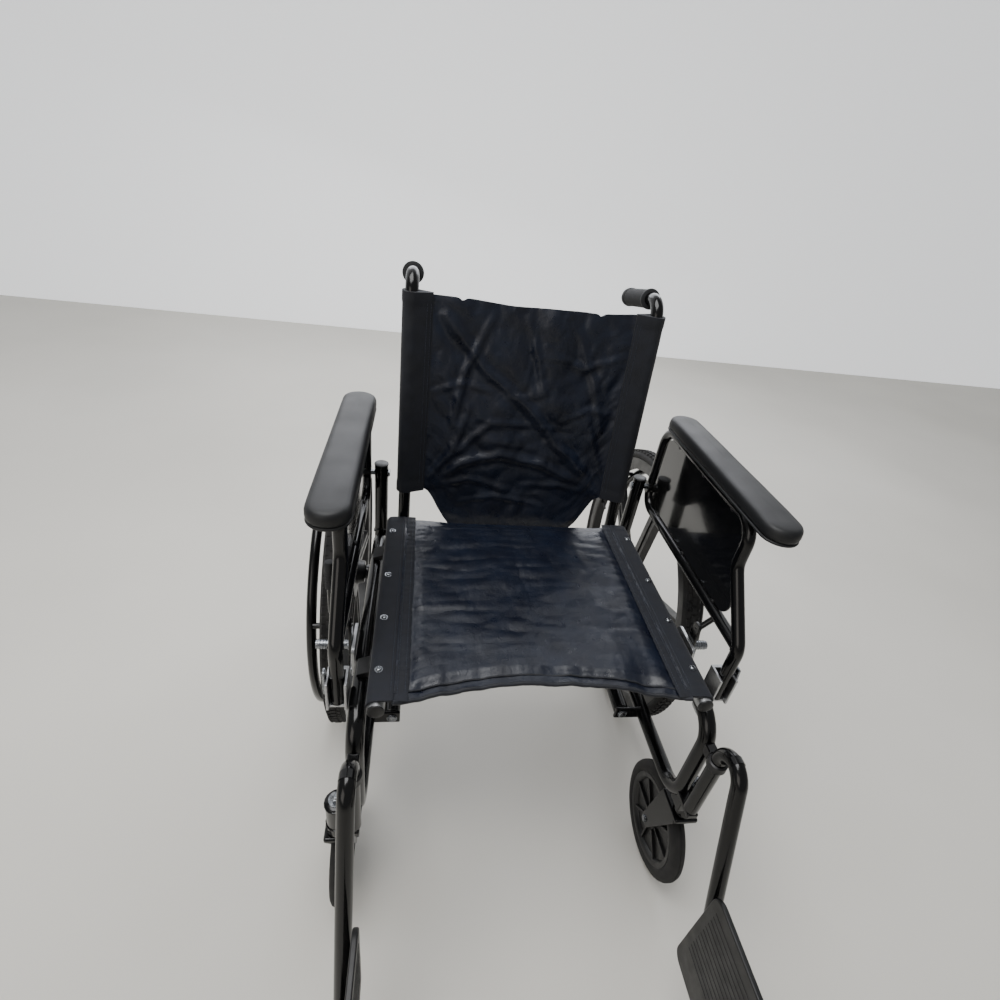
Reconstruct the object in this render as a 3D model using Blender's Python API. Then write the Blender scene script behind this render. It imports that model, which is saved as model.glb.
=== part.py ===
"""Folding manual wheelchair: side frames, cross braces, mag wheels, casters, flip-back arms and footrests.

Metres, +Z up, the front towards -Y. The origin is on the floor under the middle of the whole chair.
Both side frames move together when the cross braces stand up, and the left one is the root.
"""

import math

import bmesh
import bpy
from mathutils import Vector

for old in list(bpy.data.objects):
    bpy.data.objects.remove(old)

# Driving dimensions
GAP = 0.0003
TUBE = 0.0125
FRAME_X = 0.2535
FRONT_Y = -0.246
REAR_Y = 0.204
RAIL_LOW_Z = 0.255
RAIL_HIGH_Z = 0.445
ARM_PIVOT = (0.204, 0.58)
UPRIGHT_TOP = 0.60

SEAT_REAR_Y = 0.174
SEAT_FRONT_Y = -0.237
SEAT_RAIL = 0.011
SEAT_RAIL_X = 0.2265
SEAT_RAIL_Z = 0.4875
SEAT_HALF = 0.239
SEAT_SAG = 0.0145

CANE = 0.011
CANE_X = 0.2095
CANE_Y = 0.186
CANE_BEND_Z = 0.50
CANE_TOP = (0.239, 0.929)
HANDLE_END = (0.382, 0.9035)
GRIP = 0.016
GRIP_LENGTH = 0.110

BRACE = 0.0125
BRACE_PIVOT_X = 0.212
BRACE_PIVOT_Z = 0.255
BRACE_Y = -0.026
BRACE_OFFSET = 0.0135
BARREL = 0.014
BARREL_HALF = 0.055

WHEEL = 0.305
WHEEL_X = 0.318
AXLE_Y = 0.241
RIM = 0.2835
HANDRIM = 0.2575
HANDRIM_TUBE = 0.0085
HANDRIM_X = 0.354
AXLE = 0.006

CASTER = 0.100
CASTER_X = 0.281
TRAIL = 0.045
CASTER_RIM = 0.0785
CROWN_Z = 0.2045
HOUSING_LOW_Z = 0.218
HOUSING_TOP_Z = 0.292

ARM_X = 0.281
ARM_TUBE = 0.0095
ARM_PATH = [(-0.191, 0.4455), (-0.191, 0.545), (-0.116, 0.640), (-0.116, 0.711), (0.204, 0.711)]
ARM_LOW_Z = 0.545
PAD_X = (0.259, 0.313)
PAD_Y = (-0.181, 0.189)
PAD_Z = (0.7215, 0.7475)

LOCK_PIVOT = (-0.101, 0.452)
SHOE_PIVOT = (-0.0817, 0.3745)
SHOE = (-0.0663, 0.4168)

HANGER_Y = -0.281
HANGER_PATH = [(HANGER_Y, 0.292), (HANGER_Y, 0.452), (-0.322, 0.452), (-0.435, 0.130), (-0.546, 0.130)]
HANGER_TUBE = 0.011
PLATE_X = (0.231, 0.2405)
PLATE_Y = (-0.546, -0.401)
PLATE_Z = (0.118, 0.310)

SIDES = 10
RING = 48
SMALL_RING = 24
SIDE = (("left", -1), ("right", 1))


# Materials
def finish(name, colour, roughness, metallic=0.0):
    material = bpy.data.materials.new(name)
    material.use_nodes = True
    shader = material.node_tree.nodes["Principled BSDF"]
    shader.inputs["Base Color"].default_value = (*colour, 1)
    shader.inputs["Roughness"].default_value = roughness
    shader.inputs["Metallic"].default_value = metallic
    return material


BLACK_PAINT = finish("black_paint", (0.012, 0.012, 0.013), 0.25)
CHROME = finish("chrome", (0.60, 0.60, 0.61), 0.2, 1.0)
ALUMINIUM = finish("aluminium", (0.55, 0.55, 0.56), 0.35, 1.0)
NYLON = finish("nylon_fabric", (0.014, 0.018, 0.028), 0.5)
PAD_VINYL = finish("pad_vinyl", (0.045, 0.048, 0.050), 0.55)
RUBBER = finish("grip_rubber", (0.030, 0.030, 0.031), 0.8)
TYRE_RUBBER = finish("tyre_rubber", (0.022, 0.022, 0.022), 0.85)
PLASTIC = finish("black_plastic", (0.018, 0.018, 0.019), 0.45)


# Solids
def solid(name, mesh, material, helper=False):
    """Turns a bmesh into a named object with outward faces and smooth round sides."""
    bmesh.ops.recalc_face_normals(mesh, faces=mesh.faces)
    data = bpy.data.meshes.new(name)
    mesh.to_mesh(data)
    mesh.free()
    data.shade_smooth()
    data.set_sharp_from_angle(angle=math.radians(40))
    made = bpy.data.objects.new(name, data)
    bpy.context.scene.collection.objects.link(made)
    if material:
        data.materials.append(material)
    if helper:
        made.hide_render = True
        made.display_type = "WIRE"
    return made


def rounded(points, radius, steps=4, closed=False):
    """The points with each corner turned into an arc of this radius."""
    points = [Vector(p) for p in points]
    out = []
    for i, corner in enumerate(points):
        if not closed and i in (0, len(points) - 1):
            out.append(corner)
            continue
        before = (points[i - 1] - corner).normalized()
        after = (points[(i + 1) % len(points)] - corner).normalized()
        turn = math.pi - before.angle(after)
        if turn < 0.02:
            out.append(corner)
            continue
        reach = radius * math.tan(turn / 2)
        centre = corner + (before + after).normalized() * radius / math.cos(turn / 2)
        start = (corner + before * reach - centre).normalized()
        end = (corner + after * reach - centre).normalized()
        for k in range(steps + 1):
            out.append(centre + start.slerp(end, k / steps) * radius)
    return out


def bar(path, radius, sides=SIDES, closed=False):
    """A round bar along a path, with flat ends."""
    mesh = bmesh.new()
    path = [Vector(p) for p in path]
    count = len(path)
    rings = []
    normal = None
    last = None
    for i, point in enumerate(path):
        before = path[i - 1] if closed or i else point
        after = path[(i + 1) % count] if closed or i < count - 1 else point
        along = (after - before).normalized()
        if normal is None:
            normal = Vector((1, 0, 0)) if abs(along.x) < 0.5 else Vector((0, 0, 1))
            normal = (normal - along * normal.dot(along)).normalized()
        else:
            normal = last.rotation_difference(along) @ normal
        last = along
        across = along.cross(normal)
        ring = []
        for k in range(sides):
            angle = math.tau * (k + 0.5) / sides
            spoke = normal * math.cos(angle) + across * math.sin(angle)
            ring.append(mesh.verts.new(point + spoke * radius))
        rings.append(ring)
    for i in range(count if closed else count - 1):
        here, there = rings[i], rings[(i + 1) % count]
        for k in range(sides):
            mesh.faces.new((here[k], here[(k + 1) % sides], there[(k + 1) % sides], there[k]))
    if not closed:
        mesh.faces.new(rings[0])
        mesh.faces.new(rings[-1])
    return mesh


def turned(profile, centre, axis, segments=SMALL_RING, ring=False):
    """A turned shape: profile points are (distance along the axis, radius). Flat sides face down."""
    mesh = bmesh.new()
    centre, along = Vector(centre), Vector(axis).normalized()
    first = Vector((0, 0, 1)) if abs(along.z) < 0.9 else Vector((1, 0, 0))
    first = (first - along * first.dot(along)).normalized()
    second = along.cross(first)
    grow = 1 / math.cos(math.pi / segments)
    rows = []
    for distance, radius in profile:
        row = []
        for k in range(segments):
            angle = math.tau * (k + 0.5) / segments
            spoke = first * math.cos(angle) + second * math.sin(angle)
            row.append(mesh.verts.new(centre + along * distance + spoke * radius * grow))
        rows.append(row)
    for i in range(len(rows) if ring else len(rows) - 1):
        here, there = rows[i], rows[(i + 1) % len(rows)]
        for k in range(segments):
            mesh.faces.new((here[k], here[(k + 1) % segments], there[(k + 1) % segments], there[k]))
    if not ring:
        mesh.faces.new(rows[0])
        mesh.faces.new(rows[-1])
    return mesh


def plate(outline, holes, across, low, high):
    """A flat plate with holes. across is the thin axis, 0 for X, 1 for Y or 2 for Z."""
    mesh = bmesh.new()

    def place(point):
        u, v = point[0], point[1]
        return Vector(((low, u, v), (u, low, v), (u, v, low))[across])

    for loop in [outline, *holes]:
        verts = [mesh.verts.new(place(p)) for p in loop]
        for k, vert in enumerate(verts):
            mesh.edges.new((vert, verts[(k + 1) % len(verts)]))
    bmesh.ops.triangle_fill(mesh, edges=mesh.edges[:], use_beauty=True)
    grown = bmesh.ops.extrude_face_region(mesh, geom=mesh.faces[:])
    move = Vector((0, 0, 0))
    move[across] = high - low
    bmesh.ops.translate(mesh, vec=move, verts=[g for g in grown["geom"] if isinstance(g, bmesh.types.BMVert)])
    return mesh


def block(low, high):
    """A box between two corners, given in any order."""
    outline = [(low[0], low[1]), (high[0], low[1]), (high[0], high[1]), (low[0], high[1])]
    return plate(outline, [], 2, low[2], high[2])


def circle(u, v, radius, count=12):
    grow = radius / math.cos(math.pi / count)
    angles = [math.tau * (k + 0.5) / count for k in range(count)]
    return [(u + grow * math.cos(a), v + grow * math.sin(a)) for a in angles]


def combine(base, operation, *meshes):
    """Adds shapes to a solid, or cuts them from it."""
    for mesh in meshes:
        other = solid(f"{base.name}_{operation.lower()}", mesh, None, helper=True)
        change = base.modifiers.new(operation.lower(), "BOOLEAN")
        change.operation = operation
        change.object = other


def pin(s, x_low, x_high, y, z, radius, sides=12):
    """A round bar across the chair at (y, z), reaching from x_low to x_high on side s."""
    return turned([(x_low, radius), (x_high, radius)], (0, y, z), (s, 0, 0), sides)


# Side frames
def side_frame(side, s):
    corners = [(REAR_Y, RAIL_LOW_Z), (FRONT_Y, RAIL_LOW_Z), (FRONT_Y, RAIL_HIGH_Z), (REAR_Y, RAIL_HIGH_Z)]
    x = s * FRAME_X
    loop = rounded([(x, y, z) for y, z in corners], 0.045, closed=True)
    frame = solid(f"side_frame_{side}", bar(loop, TUBE, closed=True), BLACK_PAINT)
    upright = bar([(x, REAR_Y, RAIL_LOW_Z + 0.01), (x, REAR_Y, UPRIGHT_TOP)], TUBE * 0.99)
    housing = turned(
        [(HOUSING_LOW_Z, 0.0165), (HOUSING_TOP_Z, 0.0165)], (s * CASTER_X, FRONT_Y, 0), (0, 0, 1), 16
    )
    gusset = block((s * 0.2570, FRONT_Y - 0.014, 0.238), (s * 0.2800, FRONT_Y + 0.014, 0.286))
    axle_plate = block((s * 0.2570, 0.187, 0.272), (s * 0.2742, 0.264, 0.338))
    axle_boss = pin(s, 0.270, 0.2892, AXLE_Y, WHEEL, 0.016)
    lugs = [
        block((s * 0.198, y - 0.003, 0.242), (s * 0.2490, y + 0.003, 0.268))
        for y in (BRACE_Y - BARREL_HALF - 0.004, BRACE_Y + BARREL_HALF + 0.004)
    ]
    hanger_lug = block((x - 0.009, HANGER_Y - 0.011, 0.2810), (x + 0.009, FRONT_Y, 0.2905))
    hanger_pin = turned([(0.286, 0.004), (0.306, 0.004)], (x, HANGER_Y, 0), (0, 0, 1), 8)
    cradle = block((x - 0.008, HANGER_Y + HANGER_TUBE + 0.0006, 0.400), (x + 0.008, FRONT_Y, 0.418))
    combine(frame, "UNION", upright, housing, gusset, axle_plate, axle_boss)
    combine(frame, "UNION", *lugs, hanger_lug, hanger_pin, cradle)
    stem_hole = turned([(0.20, 0.0065), (0.31, 0.0065)], (s * CASTER_X, FRONT_Y, 0), (0, 0, 1), 12)
    axle_hole = pin(s, 0.230, 0.300, AXLE_Y, WHEEL, AXLE + GAP)
    reach = [(BRACE_Y - 0.09, 0.0063), (BRACE_Y + 0.09, 0.0063)]
    rod_hole = turned(reach, (s * BRACE_PIVOT_X, 0, BRACE_PIVOT_Z), (0, 1, 0), 12)
    arm_hole = pin(s, 0.230, 0.275, *ARM_PIVOT, 0.0053)
    combine(frame, "DIFFERENCE", stem_hole, axle_hole, rod_hole, arm_hole)


def back_post(side, s):
    x = s * CANE_X
    path = [(x, CANE_Y, 0.335), (x, CANE_Y, CANE_BEND_Z), (x, *CANE_TOP), (x, *HANDLE_END)]
    post = solid(f"back_post_{side}", bar(rounded(path, 0.030), CANE), BLACK_PAINT)
    for z in (0.360, 0.425):
        combine(post, "UNION", block((x, CANE_Y - 0.008, z - 0.011), (s * 0.2408, 0.206, z + 0.011)))


def hand_grip(side, s):
    end = Vector((s * CANE_X, *HANDLE_END))
    along = (end - Vector((s * CANE_X, *CANE_TOP))).normalized()
    mouth = 0.006 - GRIP_LENGTH
    profile = [(GAP, CANE + GAP), (mouth, CANE + GAP), (mouth, GRIP), (0.004, GRIP), (0.007, GRIP - 0.003)]
    solid(f"hand_grip_{side}", turned(profile, end, along, 16), RUBBER)


# Seat and fold
def seat_rail(side, s):
    x = s * SEAT_RAIL_X
    path = [(x, SEAT_REAR_Y - 0.004, SEAT_RAIL_Z), (x, SEAT_FRONT_Y - 0.004, SEAT_RAIL_Z)]
    solid(f"seat_rail_{side}", bar(path, SEAT_RAIL), ALUMINIUM)


def cross_brace(name, s, y):
    """The brace whose lower barrel is on side s and whose top carries the other side's seat rail."""
    foot = Vector((s * BRACE_PIVOT_X, y, BRACE_PIVOT_Z))
    head = Vector((-s * SEAT_RAIL_X, y, SEAT_RAIL_Z))
    along = (head - foot).normalized()
    brace = solid(name, bar([foot, head - along * (SEAT_RAIL + 0.0008)], BRACE), BLACK_PAINT)
    ends = [(BRACE_Y - BARREL_HALF, BARREL), (BRACE_Y + BARREL_HALF, BARREL)]
    combine(brace, "UNION", turned(ends, (foot.x, 0, foot.z), (0, 1, 0), 14))
    middle = foot + (head - foot) * BRACE_PIVOT_X / (BRACE_PIVOT_X + SEAT_RAIL_X)
    reach = [(BRACE_Y - 0.08, 0.0065), (BRACE_Y + 0.08, 0.0065)]
    bolt = [(BRACE_Y - 0.05, 0.0053), (BRACE_Y + 0.05, 0.0053)]
    combine(
        brace,
        "DIFFERENCE",
        turned(reach, (foot.x, 0, foot.z), (0, 1, 0), 12),
        turned(bolt, (middle.x, 0, middle.z), (0, 1, 0), 12),
    )
    return middle


def headed_bolt(name, centre, axis, low, high, radius, head, thick, material=CHROME):
    """A bolt with a head at each end of its shank."""
    profile = [(low - thick, head), (low, head), (low, radius)]
    profile += [(high, radius), (high, head), (high + thick, head)]
    return solid(name, turned(profile, centre, axis, 12), material)


def seat_sling():
    """The seat cloth, lying on both rails and hanging a little between them."""
    top = [(-SEAT_HALF, 0.5008), (-0.212, 0.5008), (-0.12, 0.5008 - SEAT_SAG)]
    top += [(-x, z) for x, z in reversed(top)]
    bottom = [(x, z - 0.0020) for x, z in reversed(top)]
    solid("seat_sling", plate(top + bottom, [], 1, SEAT_FRONT_Y, SEAT_REAR_Y), NYLON)


def back_sling():
    """The back cloth with its two sleeves round the canes."""
    lean = math.atan2(CANE_TOP[0] - CANE_Y, CANE_TOP[1] - CANE_BEND_Z)
    sleeve, band = 0.0135, 0.002
    start = math.asin(band / sleeve)
    outline = []
    for s in (1, -1):
        for k in range(11):
            angle = start + (math.tau - 2 * start) * k / 10 - math.pi
            outline.append((s * (CANE_X + sleeve * math.cos(angle)), s * sleeve * math.sin(angle)))
    holes = [circle(s * CANE_X, 0, CANE + GAP) for s in (-1, 1)]
    cloth = plate(outline, holes, 2, 0.560, 0.893)
    for vert in cloth.verts:
        height = vert.co.z
        vert.co.y = vert.co.y / math.cos(lean) + CANE_Y + (height - CANE_BEND_Z) * math.tan(lean)
    solid("back_sling", cloth, NYLON)


def rail_saddle(name, s, y):
    """A plastic cradle on the frame's upper tube, which the seat rail drops into."""
    bowl = []
    for k in range(9):
        angle = math.pi + math.pi * k / 8
        bowl.append((SEAT_RAIL_X + 0.0118 * math.cos(angle), SEAT_RAIL_Z - 0.004 + 0.0118 * math.sin(angle)))
    outline = [(0.2110, 0.4835), *bowl, (0.2420, 0.4835), (0.2420, 0.4700), (0.2600, 0.4630)]
    outline += [(0.2600, 0.4580), (0.2390, 0.4580), (0.2110, 0.4680)]
    solid(name, plate([(s * x, z) for x, z in outline], [], 1, y - 0.015, y + 0.015), PLASTIC)


# Wheels
def rear_wheel(side, s):
    """A moulded wheel with six broad spokes."""
    windows = []
    for k in range(6):
        middle = math.radians(60 * k + 70)
        window = []
        for radius, count, back in ((0.0520, 3, False), (0.2600, 7, True)):
            half = math.radians(30) - math.asin(0.0150 / radius)
            angles = [middle - half + 2 * half * j / (count - 1) for j in range(count)]
            if back:
                angles.reverse()
            window += [(AXLE_Y + radius * math.cos(a), WHEEL + radius * math.sin(a)) for a in angles]
        windows.append(window)
    outline = circle(AXLE_Y, WHEEL, RIM - GAP, RING)
    wheel = solid(f"rear_wheel_{side}", plate(outline, windows, 0, s * 0.3070, s * 0.3290), PLASTIC)
    combine(wheel, "UNION", pin(s, 0.2900, 0.3380, AXLE_Y, WHEEL, 0.030, 16))
    combine(wheel, "DIFFERENCE", pin(s, 0.2800, 0.3500, AXLE_Y, WHEEL, AXLE + GAP))
    centre = (s * WHEEL_X, AXLE_Y, WHEEL)
    tread = [(-0.0120, RIM), (-0.0170, 0.2930), (-0.0080, WHEEL)]
    tread += [(-distance, radius) for distance, radius in reversed(tread)]
    solid(f"rear_tyre_{side}", turned(tread, centre, (1, 0, 0), RING, ring=True), TYRE_RUBBER)
    round_tube = []
    for k in range(6):
        angle = math.tau * k / 6
        round_tube.append((HANDRIM_TUBE * math.cos(angle), HANDRIM + HANDRIM_TUBE * math.sin(angle)))
    handrim_centre = (s * HANDRIM_X, AXLE_Y, WHEEL)
    hoop = turned(round_tube, handrim_centre, (s, 0, 0), RING, ring=True)
    rim = solid(f"handrim_{side}", hoop, BLACK_PAINT)
    for k in range(6):
        angle = math.radians(60 * k + 40)
        y, z = AXLE_Y + 0.264 * math.cos(angle), WHEEL + 0.264 * math.sin(angle)
        combine(rim, "UNION", pin(s, 0.3294, HANDRIM_X, y, z, 0.006, 6))
    headed_bolt(f"rear_axle_{side}", (0, AXLE_Y, WHEEL), (s, 0, 0), 0.2560, 0.3384, AXLE, 0.009, 0.003)


def caster(side, s):
    x = s * CASTER_X
    y = FRONT_Y + TRAIL
    stem = [(CROWN_Z + 0.005, 0.014), (0.2172, 0.014), (0.2172, 0.006), (0.2945, 0.006)]
    fork = solid(f"caster_fork_{side}", turned(stem, (x, FRONT_Y, 0), (0, 0, 1), 12), BLACK_PAINT)
    crown = block((x - 0.0205, FRONT_Y - 0.018, CROWN_Z), (x + 0.0205, FRONT_Y + 0.040, CROWN_Z + 0.0095))
    legs = []
    for low in (-0.0205, 0.0160):
        ends = [(y + 0.012, 0.092), (y + 0.012, 0.112), (FRONT_Y + 0.040, CROWN_Z + 0.004)]
        ends += [(FRONT_Y - 0.018, CROWN_Z + 0.004), (y - 0.013, 0.108), (y - 0.009, 0.090)]
        legs.append(plate(ends, [circle(y, CASTER, 0.0045, 8)], 0, x + low, x + low + 0.0045))
    combine(fork, "UNION", crown, *legs)
    nut = [(0.2948, 0.0085), (0.3020, 0.0085), (0.3050, 0.0050)]
    solid(f"caster_nut_{side}", turned(nut, (x, FRONT_Y, 0), (0, 0, 1), 6), CHROME)
    hub = [(-0.0140, 0.0050), (0.0140, 0.0050), (0.0140, 0.0150), (0.0050, 0.0200), (0.0050, 0.0680)]
    hub += [(0.0110, CASTER_RIM - GAP), (-0.0110, CASTER_RIM - GAP), (-0.0050, 0.0680), (-0.0050, 0.0200)]
    hub += [(-0.0140, 0.0150)]
    centre = (x, y, CASTER)
    solid(f"caster_wheel_{side}", turned(hub, centre, (1, 0, 0), SMALL_RING, ring=True), PLASTIC)
    tread = [(-0.0105, CASTER_RIM), (-0.0125, 0.0880), (-0.0070, CASTER), (0.0070, CASTER), (0.0125, 0.0880)]
    tread += [(0.0105, CASTER_RIM)]
    solid(f"caster_tyre_{side}", turned(tread, centre, (1, 0, 0), SMALL_RING, ring=True), TYRE_RUBBER)
    headed_bolt(f"caster_axle_{side}", centre, (1, 0, 0), -0.0208, 0.0208, 0.004, 0.007, 0.0035)


# Arms
def armrest(side, s):
    x = s * ARM_X
    path = rounded([(x, y, z) for y, z in [*ARM_PATH, (REAR_Y, ARM_LOW_Z), (0.050, ARM_LOW_Z)]], 0.035)
    frame = solid(f"arm_frame_{side}", bar(path, ARM_TUBE), BLACK_PAINT)
    low_bar = bar([(x, -0.189, ARM_LOW_Z), (x, 0.070, ARM_LOW_Z)], ARM_TUBE * 0.98)
    combine(frame, "UNION", low_bar, pin(s, 0.2716, 0.2905, *ARM_PIVOT, 0.0125, 14))
    combine(frame, "DIFFERENCE", pin(s, 0.2600, 0.3000, *ARM_PIVOT, 0.0053))
    headed_bolt(f"arm_bolt_{side}", (0, *ARM_PIVOT), (s, 0, 0), 0.2406, 0.2910, 0.005, 0.0085, 0.004)
    middle = (PAD_X[0] + PAD_X[1]) / 2
    half = (PAD_X[1] - PAD_X[0]) / 2
    outline = []
    for y, turn in ((PAD_Y[1] - half, 0), (PAD_Y[0] + half, math.pi)):
        for k in range(9):
            angle = turn + math.pi * k / 8
            outline.append((s * middle + half * math.cos(angle), y + half * math.sin(angle)))
    pad = solid(f"arm_pad_{side}", plate(outline, [], 2, *PAD_Z), PAD_VINYL)
    edge = pad.modifiers.new("soft_edge", "BEVEL")
    edge.width = 0.005
    edge.segments = 1
    edge.limit_method = "ANGLE"
    corners = [(0.1900, 0.5555, 0), (0.1900, 0.7005, 0), (-0.1035, 0.7005, 0)]
    corners += [(-0.1035, 0.6340, 0), (-0.1655, 0.5555, 0)]
    panel = [(p.x, p.y) for p in rounded(corners, 0.0245, 3, closed=True)]
    solid(f"side_panel_{side}", plate(panel, [], 0, s * 0.2796, s * 0.2824), PLASTIC)


def arm_socket(side, s):
    """A bracket open to the front and the top, where the arm's front post lands."""
    walls = [(0.2668, -0.2050), (0.2708, -0.2050), (0.2708, -0.1785), (0.2912, -0.1785), (0.2912, -0.2050)]
    walls += [(0.2952, -0.2050), (0.2952, -0.1720), (0.2668, -0.1720)]
    cup = plate([(s * x, y) for x, y in walls], [], 2, 0.4400, 0.4920)
    socket = solid(f"arm_socket_{side}", cup, ALUMINIUM)
    floor = block((s * 0.2690, -0.2000, 0.4402), (s * 0.2940, -0.1740, 0.4448))
    leg = block((s * 0.2668, -0.1950, 0.4000), (s * 0.2708, -0.1722, 0.4420))
    combine(socket, "UNION", floor, leg)
    catch = [(-0.196, 0.462), (-0.182, 0.462), (-0.180, 0.480)]
    catch += [(-0.186, 0.505), (-0.196, 0.505), (-0.199, 0.480)]
    solid(f"arm_latch_{side}", plate(catch, [], 0, s * 0.2956, s * 0.2990), CHROME)


# Wheel locks
def wheel_lock(side, s):
    outline = [(-0.126, 0.430), (-0.126, 0.468), (-0.066, 0.468), (-0.060, 0.364), (-0.098, 0.364)]
    base = solid(f"lock_base_{side}", plate(outline, [], 0, s * 0.2666, s * 0.2715), ALUMINIUM)
    for pivot in (LOCK_PIVOT, SHOE_PIVOT):
        combine(base, "UNION", pin(s, 0.2690, 0.2800, *pivot, 0.004, 8))
    y, z = LOCK_PIVOT
    cheek = [(y - 0.011, z - 0.006), (y, z - 0.011), (y + 0.011, z - 0.006)]
    cheek += [(y + 0.009, z + 0.050), (y - 0.009, z + 0.050)]
    lever = solid(
        f"lock_lever_{side}", plate(cheek, [circle(y, z, 0.0047, 8)], 0, s * 0.2719, s * 0.2769), BLACK_PAINT
    )
    handle = [(s * 0.2744, y, z + 0.040), (s * 0.3000, y + 0.001, z + 0.068), (s * 0.3020, y + 0.014, 0.605)]
    combine(lever, "UNION", bar(rounded(handle, 0.012, 2), 0.0048, 8))
    y, z = SHOE_PIVOT
    arm = [(y - 0.009, z - 0.005), (y, z - 0.010), (y + 0.009, z - 0.005), (SHOE[0] + 0.008, SHOE[1] + 0.006)]
    arm += [(SHOE[0] - 0.008, SHOE[1] + 0.006)]
    link = plate(arm, [circle(y, z, 0.0047, 8)], 0, s * 0.2719, s * 0.2769)
    shoe = solid(f"lock_shoe_{side}", link, ALUMINIUM)
    combine(shoe, "UNION", pin(s, 0.2730, 0.3340, *SHOE, 0.008, 12))


# Footrests
def footrest(side, s):
    x = s * FRAME_X
    path = rounded([(x, y, z) for y, z in HANGER_PATH], 0.030)
    hanger = solid(f"hanger_{side}", bar(path, HANGER_TUBE), BLACK_PAINT)
    combine(hanger, "DIFFERENCE", turned([(0.280, 0.0045), (0.310, 0.0045)], (x, HANGER_Y, 0), (0, 0, 1), 8))
    board = block((s * PLATE_X[0], PLATE_Y[0], PLATE_Z[0]), (s * PLATE_X[1], PLATE_Y[1], PLATE_Z[1]))
    footplate = solid(f"footplate_{side}", board, PLASTIC)
    sleeve = [(-0.541, 0.0113), (-0.541, 0.0150), (-0.461, 0.0150), (-0.461, 0.0113)]
    combine(footplate, "UNION", turned(sleeve, (x, 0, 0.130), (0, 1, 0), 14, ring=True))


def body_frames(middle):
    """An empty on each joint's axis, with the pieces that move about it as its children."""
    foot = (-BRACE_PIVOT_X, BRACE_Y, BRACE_PIVOT_Z)
    places = {"cross_brace_a": (foot, ["seat_rail_right", "brace_bolt"], None)}
    places["cross_brace_b"] = (tuple(middle), ["seat_rail_left", "seat_sling"], "cross_brace_a")
    right_fixed = ["side_frame", "back_post", "hand_grip", "arm_bolt", "arm_socket", "lock_base", "brace_rod"]
    right_fixed = [f"{n}_right" for n in right_fixed] + ["rail_saddle_front_right", "rail_saddle_rear_right"]
    places["frame_right"] = ((BRACE_PIVOT_X, BRACE_Y, BRACE_PIVOT_Z), right_fixed, "cross_brace_b")
    for side, s in SIDE:
        on = "frame_right" if s > 0 else None
        axle = (s * WHEEL_X, AXLE_Y, WHEEL)
        with_wheel = [f"rear_tyre_{side}", f"handrim_{side}", f"rear_axle_{side}"]
        places[f"rear_wheel_{side}"] = (axle, with_wheel, on)
        stem = (s * CASTER_X, FRONT_Y, CROWN_Z)
        places[f"caster_fork_{side}"] = (stem, [f"caster_nut_{side}", f"caster_axle_{side}"], on)
        wheel = (s * CASTER_X, FRONT_Y + TRAIL, CASTER)
        places[f"caster_wheel_{side}"] = (wheel, [f"caster_tyre_{side}"], f"caster_fork_{side}")
        places[f"arm_frame_{side}"] = ((s * ARM_X, *ARM_PIVOT), [f"arm_pad_{side}", f"side_panel_{side}"], on)
        places[f"arm_latch_{side}"] = ((s * 0.2970, -0.189, 0.470), [], on)
        places[f"lock_lever_{side}"] = ((s * 0.2740, *LOCK_PIVOT), [], on)
        places[f"lock_shoe_{side}"] = ((s * 0.2740, *SHOE_PIVOT), [], on)
        places[f"hanger_{side}"] = ((s * FRAME_X, HANGER_Y, 0.292), [], on)
        places[f"footplate_{side}"] = ((s * FRAME_X, -0.500, 0.130), [], f"hanger_{side}")
    axes = {}
    for name, (place, also, parent) in places.items():
        axis = bpy.data.objects.new(f"{name}_axis", None)
        bpy.context.scene.collection.objects.link(axis)
        above = Vector((0, 0, 0))
        if parent:
            above = axes[parent][1]
            axis.parent = axes[parent][0]
        axis.location = Vector(place) - above
        axes[name] = (axis, Vector(place))
        for member in [name, *also]:
            piece = bpy.data.objects.get(member)
            if piece:
                piece.parent = axis
                piece.location = -Vector(place)


def build():
    for side, s in SIDE:
        side_frame(side, s)
        back_post(side, s)
        hand_grip(side, s)
        seat_rail(side, s)
        rail_saddle(f"rail_saddle_front_{side}", s, -0.150)
        rail_saddle(f"rail_saddle_rear_{side}", s, 0.110)
        rear_wheel(side, s)
        caster(side, s)
        armrest(side, s)
        arm_socket(side, s)
        wheel_lock(side, s)
        footrest(side, s)
        reach = BARREL_HALF + 0.0074
        headed_bolt(
            f"brace_rod_{side}",
            (s * BRACE_PIVOT_X, 0, BRACE_PIVOT_Z),
            (0, 1, 0),
            BRACE_Y - reach,
            BRACE_Y + reach,
            0.006,
            0.009,
            0.003,
        )
    cross_brace("cross_brace_a", -1, BRACE_Y - BRACE_OFFSET)
    middle = cross_brace("cross_brace_b", 1, BRACE_Y + BRACE_OFFSET)
    reach = BRACE_OFFSET + BRACE + 0.0006
    ends = (BRACE_Y - reach, BRACE_Y + reach)
    headed_bolt("brace_bolt", (middle.x, 0, middle.z), (0, 1, 0), *ends, 0.005, 0.009, 0.005)
    middle.y = BRACE_Y
    seat_sling()
    back_sling()
    body_frames(middle)


build()
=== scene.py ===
"""Looks of the folding wheelchair: tubes, moulded wheels, sewn slings, pads and fasteners."""

import math

import bmesh
import bpy
from mathutils import Matrix, Vector, noise


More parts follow.
